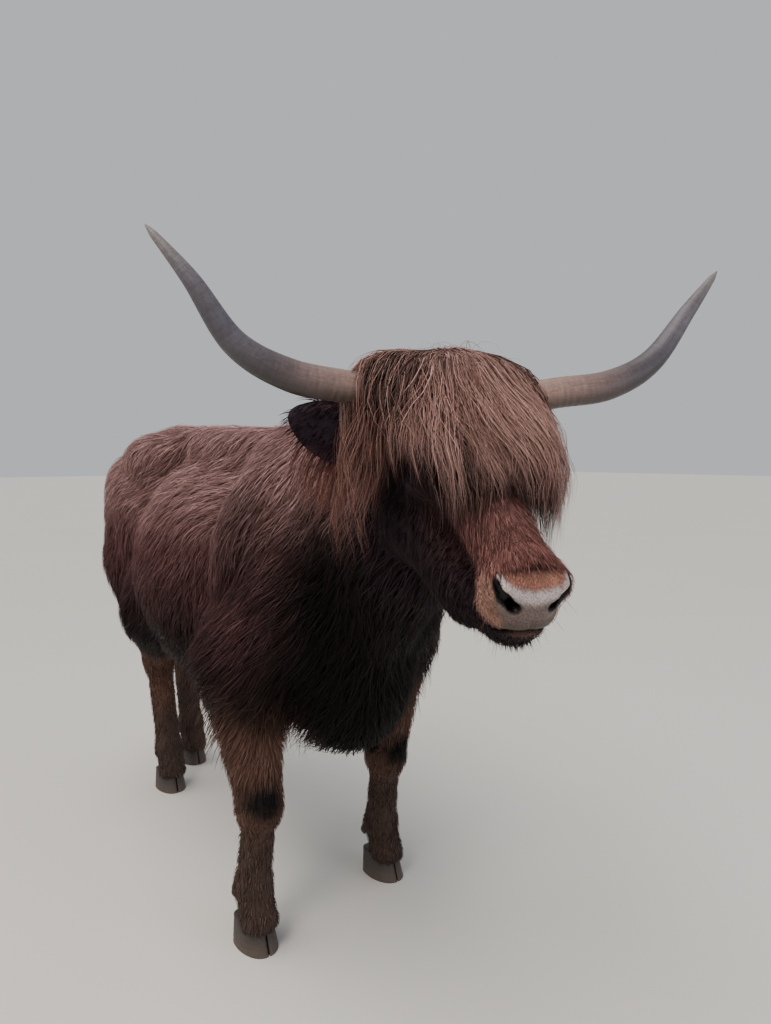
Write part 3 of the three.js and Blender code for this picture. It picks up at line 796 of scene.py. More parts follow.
def hide_and_nose():
    """The woolly undercoat combed flat over the hide, quite dull, and the bare nose: damp
    stippled skin that takes a broad soft light."""
    m = new_material("hide_and_nose")
    colour = node(m, "ShaderNodeAttribute", {"attribute_name": "hair"})
    bare = node(m, "ShaderNodeAttribute", {"attribute_name": "bare"})
    # The combed places are millimetres across the hair and much stretched along it.
    combed = node(m, "ShaderNodeAttribute", {"attribute_name": "combed"})
    spot = node(m, "ShaderNodeTexCoord")
    # The stipple of glands on the nose is about 2.5 mm across.
    stipple = node(
        m,
        "ShaderNodeTexVoronoi",
        {"Scale": 400.0, "feature": "SMOOTH_F1", "Smoothness": 0.3},
        Vector=spot.outputs["Object"],
    )
    # Hairs of the undercoat, too fine to show, are drawn 2 mm wide.
    fuzz = node(m, "ShaderNodeTexNoise", {"Scale": 0.5, "Detail": 3.0}, Vector=combed.outputs["Vector"])
    # Wetter and drier places on the nose are about 11 mm across.
    wet = node(m, "ShaderNodeTexNoise", {"Scale": 90.0, "Detail": 4.0}, Vector=spot.outputs["Object"])
    height = node(
        m,
        "ShaderNodeMix",
        {"data_type": "FLOAT"},
        _0=bare.outputs["Fac"],
        _2=fuzz.outputs[0],
        _3=stipple.outputs["Distance"],
    )
    hair_tone = node(
        m,
        "ShaderNodeMapRange",
        {"From Min": 0.3, "From Max": 0.7, "To Min": 0.5, "To Max": 1.4},
        Value=fuzz.outputs[0],
    )
    skin_tone = node(
        m,
        "ShaderNodeMapRange",
        {"From Min": 0.1, "From Max": 0.7, "To Min": 1.15, "To Max": 0.6},
        Value=stipple.outputs["Distance"],
    )
    tone = node(
        m,
        "ShaderNodeMix",
        {"data_type": "FLOAT"},
        _0=bare.outputs["Fac"],
        _2=hair_tone.outputs[0],
        _3=skin_tone.outputs[0],
    )
    tinted = node(
        m, "ShaderNodeVectorMath", {"operation": "SCALE"}, _0=colour.outputs["Color"], Scale=tone.outputs[0]
    )
    gloss = node(
        m,
        "ShaderNodeMapRange",
        {"From Min": 0.3, "From Max": 0.7, "To Min": 0.3, "To Max": 0.5},
        Value=wet.outputs[0],
    )
    damp = node(
        m, "ShaderNodeMix", {"data_type": "FLOAT", 2: 0.85}, _0=bare.outputs["Fac"], _3=gloss.outputs[0]
    )
    bump = node(m, "ShaderNodeBump", {"Strength": 0.6, "Distance": 0.0008}, Height=height.outputs[0])
    surface = node(
        m,
        "ShaderNodeBsdfPrincipled",
        {"IOR": 1.4, "Specular IOR Level": 0.35},
        Base_Color=tinted.outputs[0],
        Roughness=damp.outputs[0],
        Normal=bump.outputs[0],
    )
    return shade(m, surface)


COW_HAIR = cow_hair()
HIDE_AND_NOSE = hide_and_nose()


def combed_places(p):
    """Places for the hairs of the hide: long down the body and legs, and down the face."""
    q = head_place(p)
    on_the_head = ((q[:, 1] > -20) & (p[:, 1] < -400))[:, None]
    return np.where(on_the_head, q * (1, 0.07, 1), p * (1, 1, 0.06))


# ------------------------------------------------------------------ the skin
skin_points = settle(skin_points, body)
FLESH = ["trunk", "neck", "head", "tail"] + [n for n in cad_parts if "leg_" in n]
skin = mesh_piece("skin", metres(skin_points), skin_quads, HIDE_AND_NOSE, "coat", FLESH)
skin_tints_and_painted_light = colours_with_painted_light(skin_points)
bare_nose = on_pad(head_place(skin_points)) * (skin_points[:, 1] < -600)
give_colour(skin, "hair", skin_tints_and_painted_light * (0.75 + 0.25 * bare_nose)[:, None])
give_number(skin, "bare", bare_nose)
give_place(skin, "combed", combed_places(skin_points))

# ------------------------------------------------------------------ growing the coat
LEAST_HEIGHT = 2.0  # locks stay this far over the skin
triangles = np.concatenate([skin_quads[:, [0, 1, 2]], skin_quads[:, [0, 2, 3]]])
corners = skin_points[triangles]
outward = unit(np.cross(corners[:, 1] - corners[:, 0], corners[:, 2] - corners[:, 0]))
middles = corners.mean(axis=1)


def scatter(points, faces, chance, count):
    """Random places on triangles, drawn by area times the chance given for each triangle."""
    corners = points[faces]
    sides = np.cross(corners[:, 1] - corners[:, 0], corners[:, 2] - corners[:, 0])
    weight = np.linalg.norm(sides, axis=1) * chance
    picked = random.choice(len(faces), size=count, p=weight / weight.sum())
    u, v = random.random((2, count, 1))
    over = u + v > 1
    u, v = np.where(over, 1 - u, u), np.where(over, 1 - v, v)
    a, b, c = np.moveaxis(corners[picked], 1, 0)
    return a + (b - a) * u + (c - a) * v, unit(sides[picked])


def comb(roots, length, height, lie, rings, droop=0.0, guide=depth_and_normal, free=0.0, stray=0.0):
    """The paths of locks that follow the lie of the coat. They rise to height over the guide's
    surface, and where that turns under, a free coat leaves it and hangs down."""
    place = roots.copy()
    paths = [place.copy()]
    steps = np.linspace(0.55, 1.45, rings) / rings
    start = guide(place)[0]
    astray = random.normal(0, 1, (len(roots), 1)) * stray
    for k in range(rings):
        t = steps[: k + 1].sum()
        step = length[:, None] * steps[k]
        above, out = guide(place)
        flow = lie(place)
        flow = unit(flow - (flow * out).sum(1, keepdims=True) * out)
        flow = unit(flow + np.cross(out, flow) * astray)
        goal = start + (height - start) * min(1, 1.6 * t)
        rise = np.clip((goal - above) / step[:, 0], -0.7, 0.85)[:, None]
        way = flow * np.sqrt(1 - rise**2) + out * rise
        hanging = free * smooth(-out[:, 2], -0.1, 0.5)[:, None]
        way = way * (1 - hanging) - UP * (hanging + droop * t)
        place = place + unit(way) * step
        above, out = depth_and_normal(place)
        place += out * np.maximum(LEAST_HEIGHT - above, 0)[:, None]
        paths.append(place.copy())
    return np.stack(paths, axis=1)


def hang(roots, way, length, rings, fall):
    """The paths of locks that start out one way and bend down under their own weight."""
    place = roots.copy()
    paths = [place.copy()]
    fall = np.broadcast_to(fall, len(roots))[:, None]
    for _ in range(rings):
        way = unit(way - UP * fall / rings)
        place = place + way * (length / rings)[:, None]
        above, out = depth_and_normal(place)
        place += out * np.maximum(LEAST_HEIGHT - above, 0)[:, None]
        paths.append(place.copy())
    return np.stack(paths, axis=1)


def wave(paths, tuft, swing, reach):
    """Bends the locks of each tuft from side to side together, swing wide, once every reach."""
    way = np.gradient(paths, axis=1)
    across = unit(np.cross(way, OUT_FACE + UP))
    run = np.cumsum(np.linalg.norm(way, axis=2), axis=1)
    phase = random.uniform(0, math.tau, tuft.max() + 1)[tuft] + random.normal(0, 0.35, len(tuft))
    size = swing * random.uniform(0.3, 1.3, tuft.max() + 1)[tuft]
    t = np.linspace(0, 1, paths.shape[1])
    bend = np.sin(run * math.tau / reach + phase[:, None]) - np.sin(phase)[:, None]
    return paths + across * (bend * size[:, None] * smooth(t, 0.05, 0.7))[..., None]


def gather(paths, roots, share, pull):
    """Draws each lock towards the tip of the nearest leader, so that the coat parts in tufts."""
    leaders = random.permutation(len(roots))[: max(1, int(len(roots) * share))]
    tree = kdtree.KDTree(len(leaders))
    for i, leader in enumerate(leaders):
        tree.insert(roots[leader], i)
    tree.balance()
    nearest = np.array([tree.find(root)[1] for root in roots])
    led = paths[leaders[nearest]]
    t = np.linspace(0, 1, paths.shape[1])[None, :, None]
    own = pull * random.uniform(0.6, 1.15, (len(roots), 1, 1))
    return paths + (led - paths) * np.clip(own * t**1.3, 0, 1), nearest


# Shaded hair is redder and bleached hair paler: the powers that tones have in each colour.
WARMTH = np.array([0.9, 1.04, 1.1])
ROUND_LOCK = 1.6  # how far it is round a lock, in its widths
BAKE_PATCH = 0.003  # the size of a lock's patch on the unwrapped skin


def lock_faces(count, rings):
    """The triangles of closed three-sided locks that end in a point, and the points in each."""
    faces = [(2, 1, 0)]
    for k in range(rings - 1):
        for j in range(3):
            a, b = 3 * k + j, 3 * k + (j + 1) % 3
            faces += [(a, b, b + 3), (a, b + 3, a + 3)]
    last = 3 * (rings - 1)
    tip = 3 * rings
    faces += [(last + j, last + (j + 1) % 3, tip) for j in range(3)]
    per = tip + 1
    return (np.array(faces)[None] + (np.arange(count) * per)[:, None, None]).reshape(-1, 3), per


def locks(name, roots, paths, width, colour, tone, tip_tone, replaced=(), flat=0.35, slot="coat"):
    """Closed three-sided locks along paths, as one mesh with its maps and colours."""
    count, rings = paths.shape[0], paths.shape[1] - 1
    way = np.gradient(paths, axis=1)
    _, out = depth_and_normal(paths.reshape(-1, 3))
    out = out.reshape(paths.shape)
    across = unit(np.cross(way, out))
    up = unit(np.cross(across, way))
    t = np.linspace(0, 1, rings + 1)
    body_of_lock = np.where(t < 0.3, 0.7 + t, 1.0 - (np.maximum(t - 0.3, 0) / 0.7) ** 1.3)
    half = width[:, None] * 0.5 * body_of_lock[None, :]
    points = []
    for angle in (90, 210, 330):
        c, s = math.cos(math.radians(angle)), math.sin(math.radians(angle))
        points.append(paths[:, :-1] + (across * c + up * s * flat)[:, :-1] * half[:, :-1, None])
    ring_points = np.stack(points, axis=2).reshape(count, rings * 3, 3)
    every = np.concatenate([ring_points, paths[:, -1:]], axis=1)
    faces, per = lock_faces(count, rings)
    piece = mesh_piece(name, metres(every.reshape(-1, 3)), faces, COW_HAIR, slot, replaced)
    along = np.concatenate([np.repeat(t[:-1], 3), [1.0]])
    change = tone[:, None] * (0.7 + 0.3 * smooth(along, 0, 0.4) + (tip_tone - 1) * along)
    give_colour(piece, "hair", (colour[:, None, :] * change[:, :, None] ** WARMTH).reshape(-1, 3))
    around = np.concatenate([np.tile([0.0, 0.5, 1.0], rings), [0.5]])
    length = np.linalg.norm(np.diff(paths, axis=1), axis=2).sum(1)
    # Each lock shows its own part of the pattern of hairs, which is drawn in millimetres.
    strand = np.empty((count, per, 2))
    strand[:, :, 0] = random.uniform(0, 900, count)[:, None] + around[None] * width[:, None] * ROUND_LOCK
    strand[:, :, 1] = random.uniform(0, 900, count)[:, None] + along[None] * length[:, None]
    give_map(piece, "Strand", strand.reshape(-1, 2))
    patch = np.stack([around, along], axis=-1) * BAKE_PATCH
    give_map(piece, "OFBake", (unwrap(roots)[:, None] + patch[None]).reshape(-1, 2))
    return piece


def unwrap(p):
    """Each place on the skin laid flat: round the body or leg it is on, and along it. The head
    and the four legs lie side by side along the bottom of the map, and the trunk above them."""
    q = head_place(p)
    on_leg = p[:, 2] < 560
    axis_x = np.zeros(len(p))
    axis_y = np.zeros(len(p))
    chart = np.zeros(len(p))
    for i, (x, y) in enumerate(FEET.values()):
        lean = HOCK_SET_BACK * smooth(p[:, 2], FETLOCK, HOCK) if y > MIDDLE else 0
        close = on_leg & (np.abs(p[:, 0] - x) < 110) & (np.abs(p[:, 1] - y - lean) < 230)
        axis_x = np.where(close, x, axis_x)
        axis_y = np.where(close, y + lean, axis_y)
        chart = np.where(close, i + 2, chart)
    leg_turn = np.arctan2(p[:, 1] - axis_y, p[:, 0] - axis_x) / math.tau + 0.5
    trunk_turn = np.arctan2(p[:, 0] + 85 * smooth(-p[:, 1], 0, 500), p[:, 2] - 860) / math.tau + 0.5
    head_turn = np.arctan2(q[:, 0], q[:, 2] + 95) / math.tau + 0.5
    on_the_head = (q[:, 1] > -40) & (p[:, 1] < -380) & (p[:, 2] > 700)
    chart = np.where(on_the_head, 1, chart)
    u = np.where(on_the_head, head_turn * 0.48, np.where(chart > 1, leg_turn * 0.11, trunk_turn))
    v = np.where(on_the_head, (q[:, 1] + 40) / 560 * 0.24, (p[:, 1] + 700) / 2100 * 0.7)
    v = np.where(chart > 1, p[:, 2] / 560 * 0.24, v)
    u = u + np.where(chart > 1, 0.5 + (chart - 2) * 0.12, 0)
    v = v + np.where(chart < 1, 0.28, 0)
    return np.stack([u, v], axis=-1) * 0.99


# ------------------------------------------------------------------ the coat
# Which triangles of the skin carry each stretch of the coat.
bare_body = layer(0)
face_place = head_place(middles)
along_face = face_place[:, 1]
on_head_skin = (whole_head(bare_body)(middles) < 14) & (along_face > -35) & (middles[:, 1] < -380)
leg_near = np.min([leg_field(name, bare_body)(middles) for name in FEET], axis=0) < 8
on_leg = leg_near & (middles[:, 2] < 590) & ((np.abs(middles[:, 0]) > 35) | (middles[:, 2] < 480))
on_tail = (tail_only(middles) < 3) & (middles[:, 1] > 1225)
on_neck = ~on_head_skin & ~on_leg & (middles[:, 1] < -70)
on_trunk = ~on_head_skin & ~on_leg & ~on_tail & ~on_neck
underneath = on_trunk & (outward[:, 2] < -0.45) & (middles[:, 2] < 720)


def how_many(count):
    return count


def coat_depth(p):
    """How deep the coat lies over places on the skin."""
    return np.clip(-coat_tips(p), 6, 60)


def lie_of_body(p):
    """Down the sides from a parting along the back, and somewhat backwards."""
    side = np.tanh(p[:, 0] / 50)
    turn = 0.6 * ripple(p, 150, 1.0) + 0.45 * ripple(p, 60, 5.0) + 0.2 * ripple(p, 24, 8.0)
    return np.stack([0.7 * side + 0.3 * turn, 0.6 + turn, -0.9 + 0.2 * turn], axis=-1)


def lie_of_neck(p):
    """Down the neck, sweeping back over the shoulders."""
    side = np.tanh((p[:, 0] - 0.17 * np.minimum(p[:, 1], 0)) / 45)
    back = 0.25 + 0.7 * smooth(np.abs(p[:, 0]), 90, 210)
    turn = 0.5 * ripple(p, 140, 2.0) + 0.35 * ripple(p, 60, 3.0) + 0.15 * ripple(p, 24, 8.0)
    return np.stack([0.6 * side + 0.3 * turn, back + turn, -1.0 + 0 * side], axis=-1)


def lie_of_leg(p):
    """Down the leg, and backwards off the fore arm."""
    turn = 0.2 * ripple(p, 60, 4.0)
    back = 0.1 + 0.8 * smooth(p[:, 2], 370, 500)
    return np.stack([turn, back + turn, -1.0 + 0 * turn], axis=-1)


def lie_of_face(p):
    """Down the face to the nose and over the cheeks towards the jaw."""
    q = head_place(p)
    side = np.tanh(q[:, 0] / 40)
    cheek = smooth(-q[:, 2], 30, 110)
    turn = 0.25 * ripple(p, 70, 6.0)
    way = DOWN_FACE[None] * (1 - 0.55 * cheek)[:, None]
    way = way + HEAD_LEFT[None] * (side * (0.35 - 0.2 * cheek) + turn)[:, None]
    return way - OUT_FACE[None] * cheek[:, None] * 0.7 - UP[None] * 0.25


def grow(
    name,
    roots,
    paths,
    width,
    colour,
    leaders=0.25,
    pull=0.4,
    swing=0.0,
    reach=130,
    tips=(1.0, 1.35),
    contrast=0.3,
    **more,
):
    """Turns the paths of locks into a piece of the coat, with its tufts, waves and tones. The
    leaders are the share of the locks that draw the others to them, with the given pull. A wave
    is swing wide and reach long. The tips are how many times as pale as the roots, from the
    least to the most, and contrast is how much one lock's tone differs from another's."""
    paths, tuft = gather(paths, roots, leaders, pull)
    if swing:
        paths = wave(paths, tuft, swing, reach)
    group = random.uniform(1 - 0.8 * contrast, 1 + 0.8 * contrast, tuft.max() + 1)[tuft]
    tone = group * random.uniform(1 - contrast, 1 + contrast, len(roots))
    wide = width * random.uniform(0.5, 1.4, len(roots))
    tip = random.uniform(*tips, (len(roots), 1))
    return locks(name, roots, paths, wide, colour, tone, tip, **more)


def coat_piece(name, where, count, length, width, lie, rings=3, lift=1.0, droop=0.0, stray=0.12, **more):
    """One stretch of the coat: count locks where there is skin of that kind. The length is a
    number, or a function of the roots' places. The locks rise to the coat's depth times lift,
    droop more towards their tips, and each goes astray from the lie of the coat by its own
    share of stray."""
    roots, _ = scatter(skin_points, triangles, where, how_many(count))
    long = length(roots) if callable(length) else length
    long = long * random.uniform(0.65, 1.25, len(roots))
    height = coat_depth(roots) * lift * random.uniform(0.3, 1.1, len(roots))
    paths = comb(roots, long, height, lie, rings, droop, stray=stray)
    return grow(name, roots, paths, width, colours_with_painted_light(roots), **more)


def leg_length(p):
    """Velvety below the knee and hock, longer up the leg and longest behind it."""
    high = smooth(p[:, 2], 330, 520)
    nearest = np.full(len(p), 1e9)
    behind = np.zeros(len(p))
    for x, y in FEET.values():
        away = np.abs(p[:, 1] - y) + np.abs(p[:, 0] - x)
        behind = np.where(away < nearest, smooth(p[:, 1] - y, 10, 60), behind)
        nearest = np.minimum(away, nearest)
    return 20 + 36 * high + 34 * high * behind


def neck_length(p):
    """Longest on the dewlap and brisket."""
    return 95 + 55 * (1 - smooth(p[:, 2], 700, 1000))


SINGLE = {"leaders": 1.0, "pull": 0}  # locks that don't gather in tufts
right_flank = on_trunk & ~underneath & (middles[:, 0] < 0)
left_flank = on_trunk & ~underneath & (middles[:, 0] >= 0)
FLANK = {"length": 88, "width": 4.7, "lie": lie_of_body, "stray": 0.24, "contrast": 0.42}
coat_piece("coat_right", right_flank, 8400, **FLANK)
coat_piece("coat_left", left_flank, 8400, **FLANK)
# Single long hairs stand a little off the coat and soften its outline.
LOOSE = {"length": 84, "width": 1.8, "lie": lie_of_body, "lift": 1.25, "stray": 0.5}
LOOSE.update(SINGLE, contrast=0.45)
coat_piece("loose_right", right_flank, 1500, **LOOSE)
coat_piece("loose_left", left_flank, 1500, **LOOSE)
coat_piece("coat_belly", underneath, 2800, length=90, width=5.6, lie=lie_of_body, droop=0.5)
neck_middle = 0.17 * np.minimum(middles[:, 1], 0)
right_of_neck = on_neck & (middles[:, 0] < neck_middle)
left_of_neck = on_neck & (middles[:, 0] >= neck_middle)
NECK = {"length": neck_length, "width": 4.4, "lie": lie_of_neck, "rings": 4}
NECK.update(droop=0.25, swing=4, stray=0.26, contrast=0.42)
coat_piece("neck_coat_right", right_of_neck, 5200, **NECK)
coat_piece("neck_coat_left", left_of_neck, 5200, **NECK)
LEG = {"length": leg_length, "width": 3.1, "lie": lie_of_leg, "lift": 0.9}
coat_piece("leg_coat_fore", on_leg & (middles[:, 1] < MIDDLE), 5800, **LEG)
coat_piece("leg_coat_hind", on_leg & (middles[:, 1] >= MIDDLE), 5800, **LEG)

open_face = on_head_skin & (on_pad(face_place) < 0.5)
cheeks = open_face & (along_face < 412)


def face_length(p):
    """Longest on the cheeks and at the end of the bridge, where it hangs over as a fringe."""
    q = head_place(p)
    short = smooth(q[:, 1], 300, 400) * (1 - smooth(q[:, 2], -60, -40))
    return 34 - 20 * short


FACE = {"length": face_length, "width": 2.5, "lie": lie_of_face, "lift": 0.8, "leaders": 0.3, "pull": 0.3}
coat_piece("face_coat", cheeks, 7500, **FACE)
muzzle = open_face & (along_face > 340)
FUZZ = {"length": 8, "width": 1.2, "lie": lie_of_face, "lift": 0.5}
FUZZ.update(leaders=0.5, pull=0.2, contrast=0.16)
coat_piece("muzzle_coat", muzzle, 4500, **FUZZ)


def stand_out(name, where, count, length, width, way_of, fall, rings=3, colour=None, **more):
    """Locks that leave the skin one way and bend down of their own weight."""
    roots, out = scatter(skin_points, triangles, where, how_many(count))
    way = unit(way_of(head_place(roots), out) + random.normal(0, 0.1, (len(roots), 3)))
    paths = hang(roots, way, length * random.uniform(0.6, 1.2, len(roots)), rings, fall)
    colour = colours_with_painted_light(roots) if colour is None else np.tile(HAIR[colour], (len(roots), 1))
    return grow(name, roots, paths, width, colour, **more)


def over_nose(q, out):
    """Down the bridge and out over the nose, spreading to both sides."""
    return DOWN_FACE + 0.22 * OUT_FACE + HEAD_LEFT * q[:, :1] / 170


end_of_bridge = open_face & (along_face > 378) & (along_face < 410) & (face_place[:, 2] > -36)
FRINGE = {"length": 21, "width": 2.0, "way_of": over_nose, "fall": 0.7, "tips": (0.4, 0.8)}
stand_out("bridge_fringe", end_of_bridge, 1100, **FRINGE)


def off_lips(q, out):
    """Out of the lips and somewhat forwards."""
    return out + 0.5 * DOWN_FACE


def off_chin(q, out):
    """Forwards along the chin."""
    return out * 0.4 + DOWN_FACE


lips_and_chin = open_face & (along_face > 385) & (face_place[:, 2] < -72)
WHISKERS = {"length": 30, "width": 0.6, "way_of": off_lips, "fall": 0.5, **SINGLE}
stand_out("whiskers", lips_and_chin, 80, **WHISKERS)
chin = open_face & (along_face > 250) & (face_place[:, 2] < -128)
BEARD = {"length": 12, "width": 1.4, "way_of": off_chin, "fall": 1.0, "leaders": 0.4, "pull": 0.2}
stand_out("chin_hair", chin, 1500, **BEARD)

behind_elbow = right_flank | left_flank | (on_leg & (middles[:, 2] > 500))
behind_elbow = behind_elbow & (middles[:, 1] > -20) & (middles[:, 1] < 220) & (middles[:, 2] < 800)
behind_elbow = behind_elbow & (np.abs(middles[:, 0]) > 190)


def off_elbow(q, out):
    """Outwards, backwards and down."""
    return out * 0.55 + np.array([0, 0.55, -0.6])


ELBOW_TUFTS = {"length": 105, "width": 2.6, "way_of": off_elbow, "fall": 1.0}
ELBOW_TUFTS.update(rings=5, leaders=0.12, pull=0.6, contrast=0.4)
stand_out("elbow_tufts", behind_elbow, 700, **ELBOW_TUFTS)

# ------------------------------------------------------------------ the forelock
CROWN = on_head(-8, -8, 62)  # where the hair of the forelock parts
mound_of_hair = in_head_frame(
    blend(
        60,
        egg((0, 24, 14), (125, 80, 74)),
        egg((0, 12, 20), (180, 62, 50)),
        egg((0, 92, 0), (120, 105, 67)),
        egg((0, 150, -4), (118, 125, 56)),
        egg((86, 130, -46), (70, 136, 86)),
        egg((0, 235, -18), (90, 78, 44)),
    )
)
heap_of_hair = egg((-115, 34, 34), (80, 60, 60))


def forelock_outside(p):
    """The outside of the forelock, with more hair fallen over the root of the right horn."""
    return soft_least(mound_of_hair(p), heap_of_hair(head_place(p)), 45)


def over_forelock(p):
    """Height of points over the outside of the forelock and the way out of it there."""
    d = forelock_outside(p)
    return d, way_out(forelock_outside, p, d)


def lie_of_forelock(p):
    """Away from the crown to all sides, forwards most of all, and down."""
    away = unit(p - CROWN)
    side = away @ HEAD_LEFT
    turn = 0.34 * ripple(p, 80, 7.0) + 0.12 * ripple(p, 34, 3.0)
    way = away + DOWN_FACE[None] * 0.3 + HEAD_LEFT[None] * turn[:, None]
    return way - UP[None] * (0.4 + 0.4 * np.abs(side))[:, None]


def forelock_colour(p, depth):
    """Sun-bleached at the crown, darker and redder at the brow; paler on the outside and darker deep in,
    which is partly sun-bleaching and partly painted shade.
    """
    q = head_place(p)
    low = smooth(q[:, 1], 70, 190)[:, None]
    deep = smooth(-depth, 3, 24)[:, None]
    return (HAIR["forelock"] * (1 - low) + HAIR["brow"] * low) * (1.25 - 1.0 * deep)


def shorten(paths, share):
    """Paths that keep the given share of their length, with as many rings."""
    rings = paths.shape[1] - 1
    at = np.linspace(0, rings, rings + 1)[None] * share[:, None]
    low = np.minimum(at.astype(int), rings - 1)
    each = np.arange(len(paths))[:, None]
    return paths[each, low] + (paths[each, low + 1] - paths[each, low]) * (at - low)[..., None]


def under_fringe(p):
    """How far places are below the forelock's lower edge, which is highest at the right eye."""
    side = head_place(p)[:, 0]
    edge = 1052 + 86 * smooth(-side, 78, 116) - 40 * smooth(side, 40, 90)
    return edge + 26 * ripple(p * (1, 1, 0.2), 42, 2.5) - p[:, 2]


def trim(paths):
    """Paths of locks cut where they pass the forelock's lower edge, unevenly as hair grows."""
    past = under_fringe(paths.reshape(-1, 3)).reshape(paths.shape[:2]) > 0
    rings = paths.shape[1] - 1
    first = np.where(past.any(axis=1), past.argmax(axis=1), rings) / rings
    share = first * random.uniform(0.74, 1.0, len(paths)) + random.exponential(0.05, len(paths))
    return shorten(paths, np.clip(share, 0.2, 1))


def forelock_piece(name, where, count, longest, width, deepest, stray, rings, dark=1.0, **more):
    """One layer of the forelock: locks that start round the crown and end far down the face,
    no deeper in it than deepest. A layer in the shade of the others has its colours times dark."""
    roots, _ = scatter(skin_points, triangles, where, how_many(count))
    from_crown = np.linalg.norm(roots - CROWN, axis=1)
    reach = np.clip(longest - 0.95 * from_crown, 110, 450)
    sunk = 0.5 + 0.5 * ripple(roots, 20, 4.0)  # whole tufts lie deeper than others
    depth = -deepest * (0.5 * sunk + 0.5 * random.random(len(roots)) ** 1.3)
    paths = comb(roots, reach, depth, lie_of_forelock, rings, guide=over_forelock, free=1.0, stray=stray)
    paths = trim(paths)
    colour = forelock_colour(roots, depth) * dark
    return grow(name, roots, paths, width, colour, slot="long_hair", flat=0.5, **more)


crown_skin = on_head_skin & (along_face < 120) & (np.abs(face_place[:, 0]) < 108) & (face_place[:, 2] > -40)
top_of_crown = crown_skin & (along_face < 70) & (face_place[:, 2] > 10)
UNDER = {"longest": 425, "width": 3.8, "deepest": 50, "stray": 0.12, "rings": 7, "dark": 0.36}
UNDER.update(leaders=0.06, pull=0.7, swing=6, reach=130, contrast=0.4)
forelock_piece("forelock_under", crown_skin, 1700, **UNDER, replaced=["forelock"])
OUTER = {"longest": 435, "width": 2.0, "deepest": 28, "stray": 0.08, "rings": 9}
OUTER.update(leaders=0.035, pull=0.88, swing=6, reach=170, contrast=0.58)
forelock_piece("forelock_hair", crown_skin, 3500, **OUTER)
WISPS = {"longest": 440, "width": 1.4, "deepest": 3, "stray": 0.16, "rings": 13}
WISPS.update(leaders=0.1, pull=0.7, swing=7, reach=140, contrast=0.6)
forelock_piece("forelock_wisps", top_of_crown, 1000, **WISPS)


# The horns' roots, with room for the hair that lies on them.
around_horns = in_head_frame(
    blend(
        10,
        rod((62, 22, -14), (112, 38, 4), 31, 31),
        rod((112, 38, 4), (190, 43, 23), 31, 29),
    )
)


def clear_of_horns(paths):
    """Paths of locks with every place that would be inside a horn moved out of it."""
    p = paths.reshape(-1, 3)
    d = around_horns(p)
    p = p + way_out(around_horns, p, d) * np.maximum(-d, 0)[:, None]
    return p.reshape(paths.shape)


def curtain(name, side, count, longest, fall, leaders):
    """Long locks that fall over the root of a horn and hang beside the face."""
    where = crown_skin & (face_place[:, 0] * side > 72) & (along_face < 70) & (face_place[:, 2] > -20)
    roots, _ = scatter(skin_points, triangles, where, how_many(count))
    ahead = random.normal(0.05, 0.14, (len(roots), 1))
    up_first = random.uniform(0.5, 0.8, (len(roots), 1))
    way = unit(HEAD_LEFT * side + DOWN_FACE * ahead + OUT_FACE * up_first)
    length = longest * random.uniform(0.55, 1.05, len(roots))
    paths = hang(roots, way, length, 10, random.uniform(*fall, len(roots)))
    paths = clear_of_horns(paths)
    low = random.random((len(roots), 1))
    colour = (HAIR["forelock"] * low + HAIR["brow"] * (1 - low)) * 0.8
    grow(name, roots, paths, 2.0, colour, leaders, 0.8, swing=7, slot="long_hair", contrast=0.5)


curtain("forelock_right_curtain", -1, 210, longest=350, fall=(5.0, 6.2), leaders=0.03)
curtain("forelock_left_curtain", 1, 240, longest=260, fall=(4.0, 9.0), leaders=0.08)


def flyaway(q, out):
    """Up off the crown and out to both sides."""
    aside = HEAD_LEFT * random.normal(0, 0.8, (len(q), 1))
    return out * 0.8 + aside + DOWN_FACE * random.normal(0, 0.5, (len(q), 1))


FLYAWAY = {"length": 95, "width": 0.9, "way_of": flyaway, "fall": 3.6, **SINGLE}
stand_out("crown_flyaways", top_of_crown, 260, rings=7, contrast=0.4, colour="forelock", **FLYAWAY)


# ------------------------------------------------------------------ lofted bodies
def curve_through(knots, t):
    """Places along a smooth curve through knots, for t from 0 to 1."""
    knots = np.asarray(knots, float)
    ends = np.concatenate([2 * knots[:1] - knots[1:2], knots, 2 * knots[-1:] - knots[-2:-1]])
    t = np.clip(t, 0, 1) * (len(knots) - 1)
    i = np.minimum(t.astype(int), len(knots) - 2)
    u = (t - i)[:, None]
    a, b, c, d = (ends[i + k] for k in range(4))
    return b + u * ((c - a) + u * ((2 * a - 5 * b + 4 * c - d) + u * (3 * b - a - 3 * c + d))) / 2


def loft(line, outlines, facing):
    """Points and faces of a closed body round a line. Each ring's outline has its places
    (across, deep) in millimetres, with deep the way that facing points."""
    way = unit(np.gradient(line, axis=0))
    across = unit(np.cross(way, facing))
    deep = unit(np.cross(across, way))
    rings, sides = outlines.shape[:2]
    round_line = across[:, None] * outlines[..., :1] + deep[:, None] * outlines[..., 1:]
    points = np.concatenate([(line[:, None] + round_line).reshape(-1, 3), line[:1], line[-1:]])
    ring = np.arange(rings - 1)[:, None] * sides
    j = np.arange(sides)[None]
    k = (j + 1) % sides
    first = rings * sides + 0 * j
    parts = [
        (ring + j, ring + sides + j, ring + sides + k),
        (ring + j, ring + sides + k, ring + k),
        (first, j, k),
        (first + 1, (rings - 1) * sides + k, (rings - 1) * sides + j),
    ]
    return points, np.concatenate([np.stack(part, axis=-1).reshape(-1, 3) for part in parts])


def round_outlines(wide, deep, sides):
    """Rings of the given half widths and half depths."""
    turn = np.linspace(0, math.tau, sides, endpoint=False)
    return np.stack([np.outer(wide, np.cos(turn)), np.outer(deep, np.sin(turn))], axis=-1)


def sided(name, side):
    """A piece's name with the side that it is on."""
    return name + ("_left" if side > 0 else "_right")


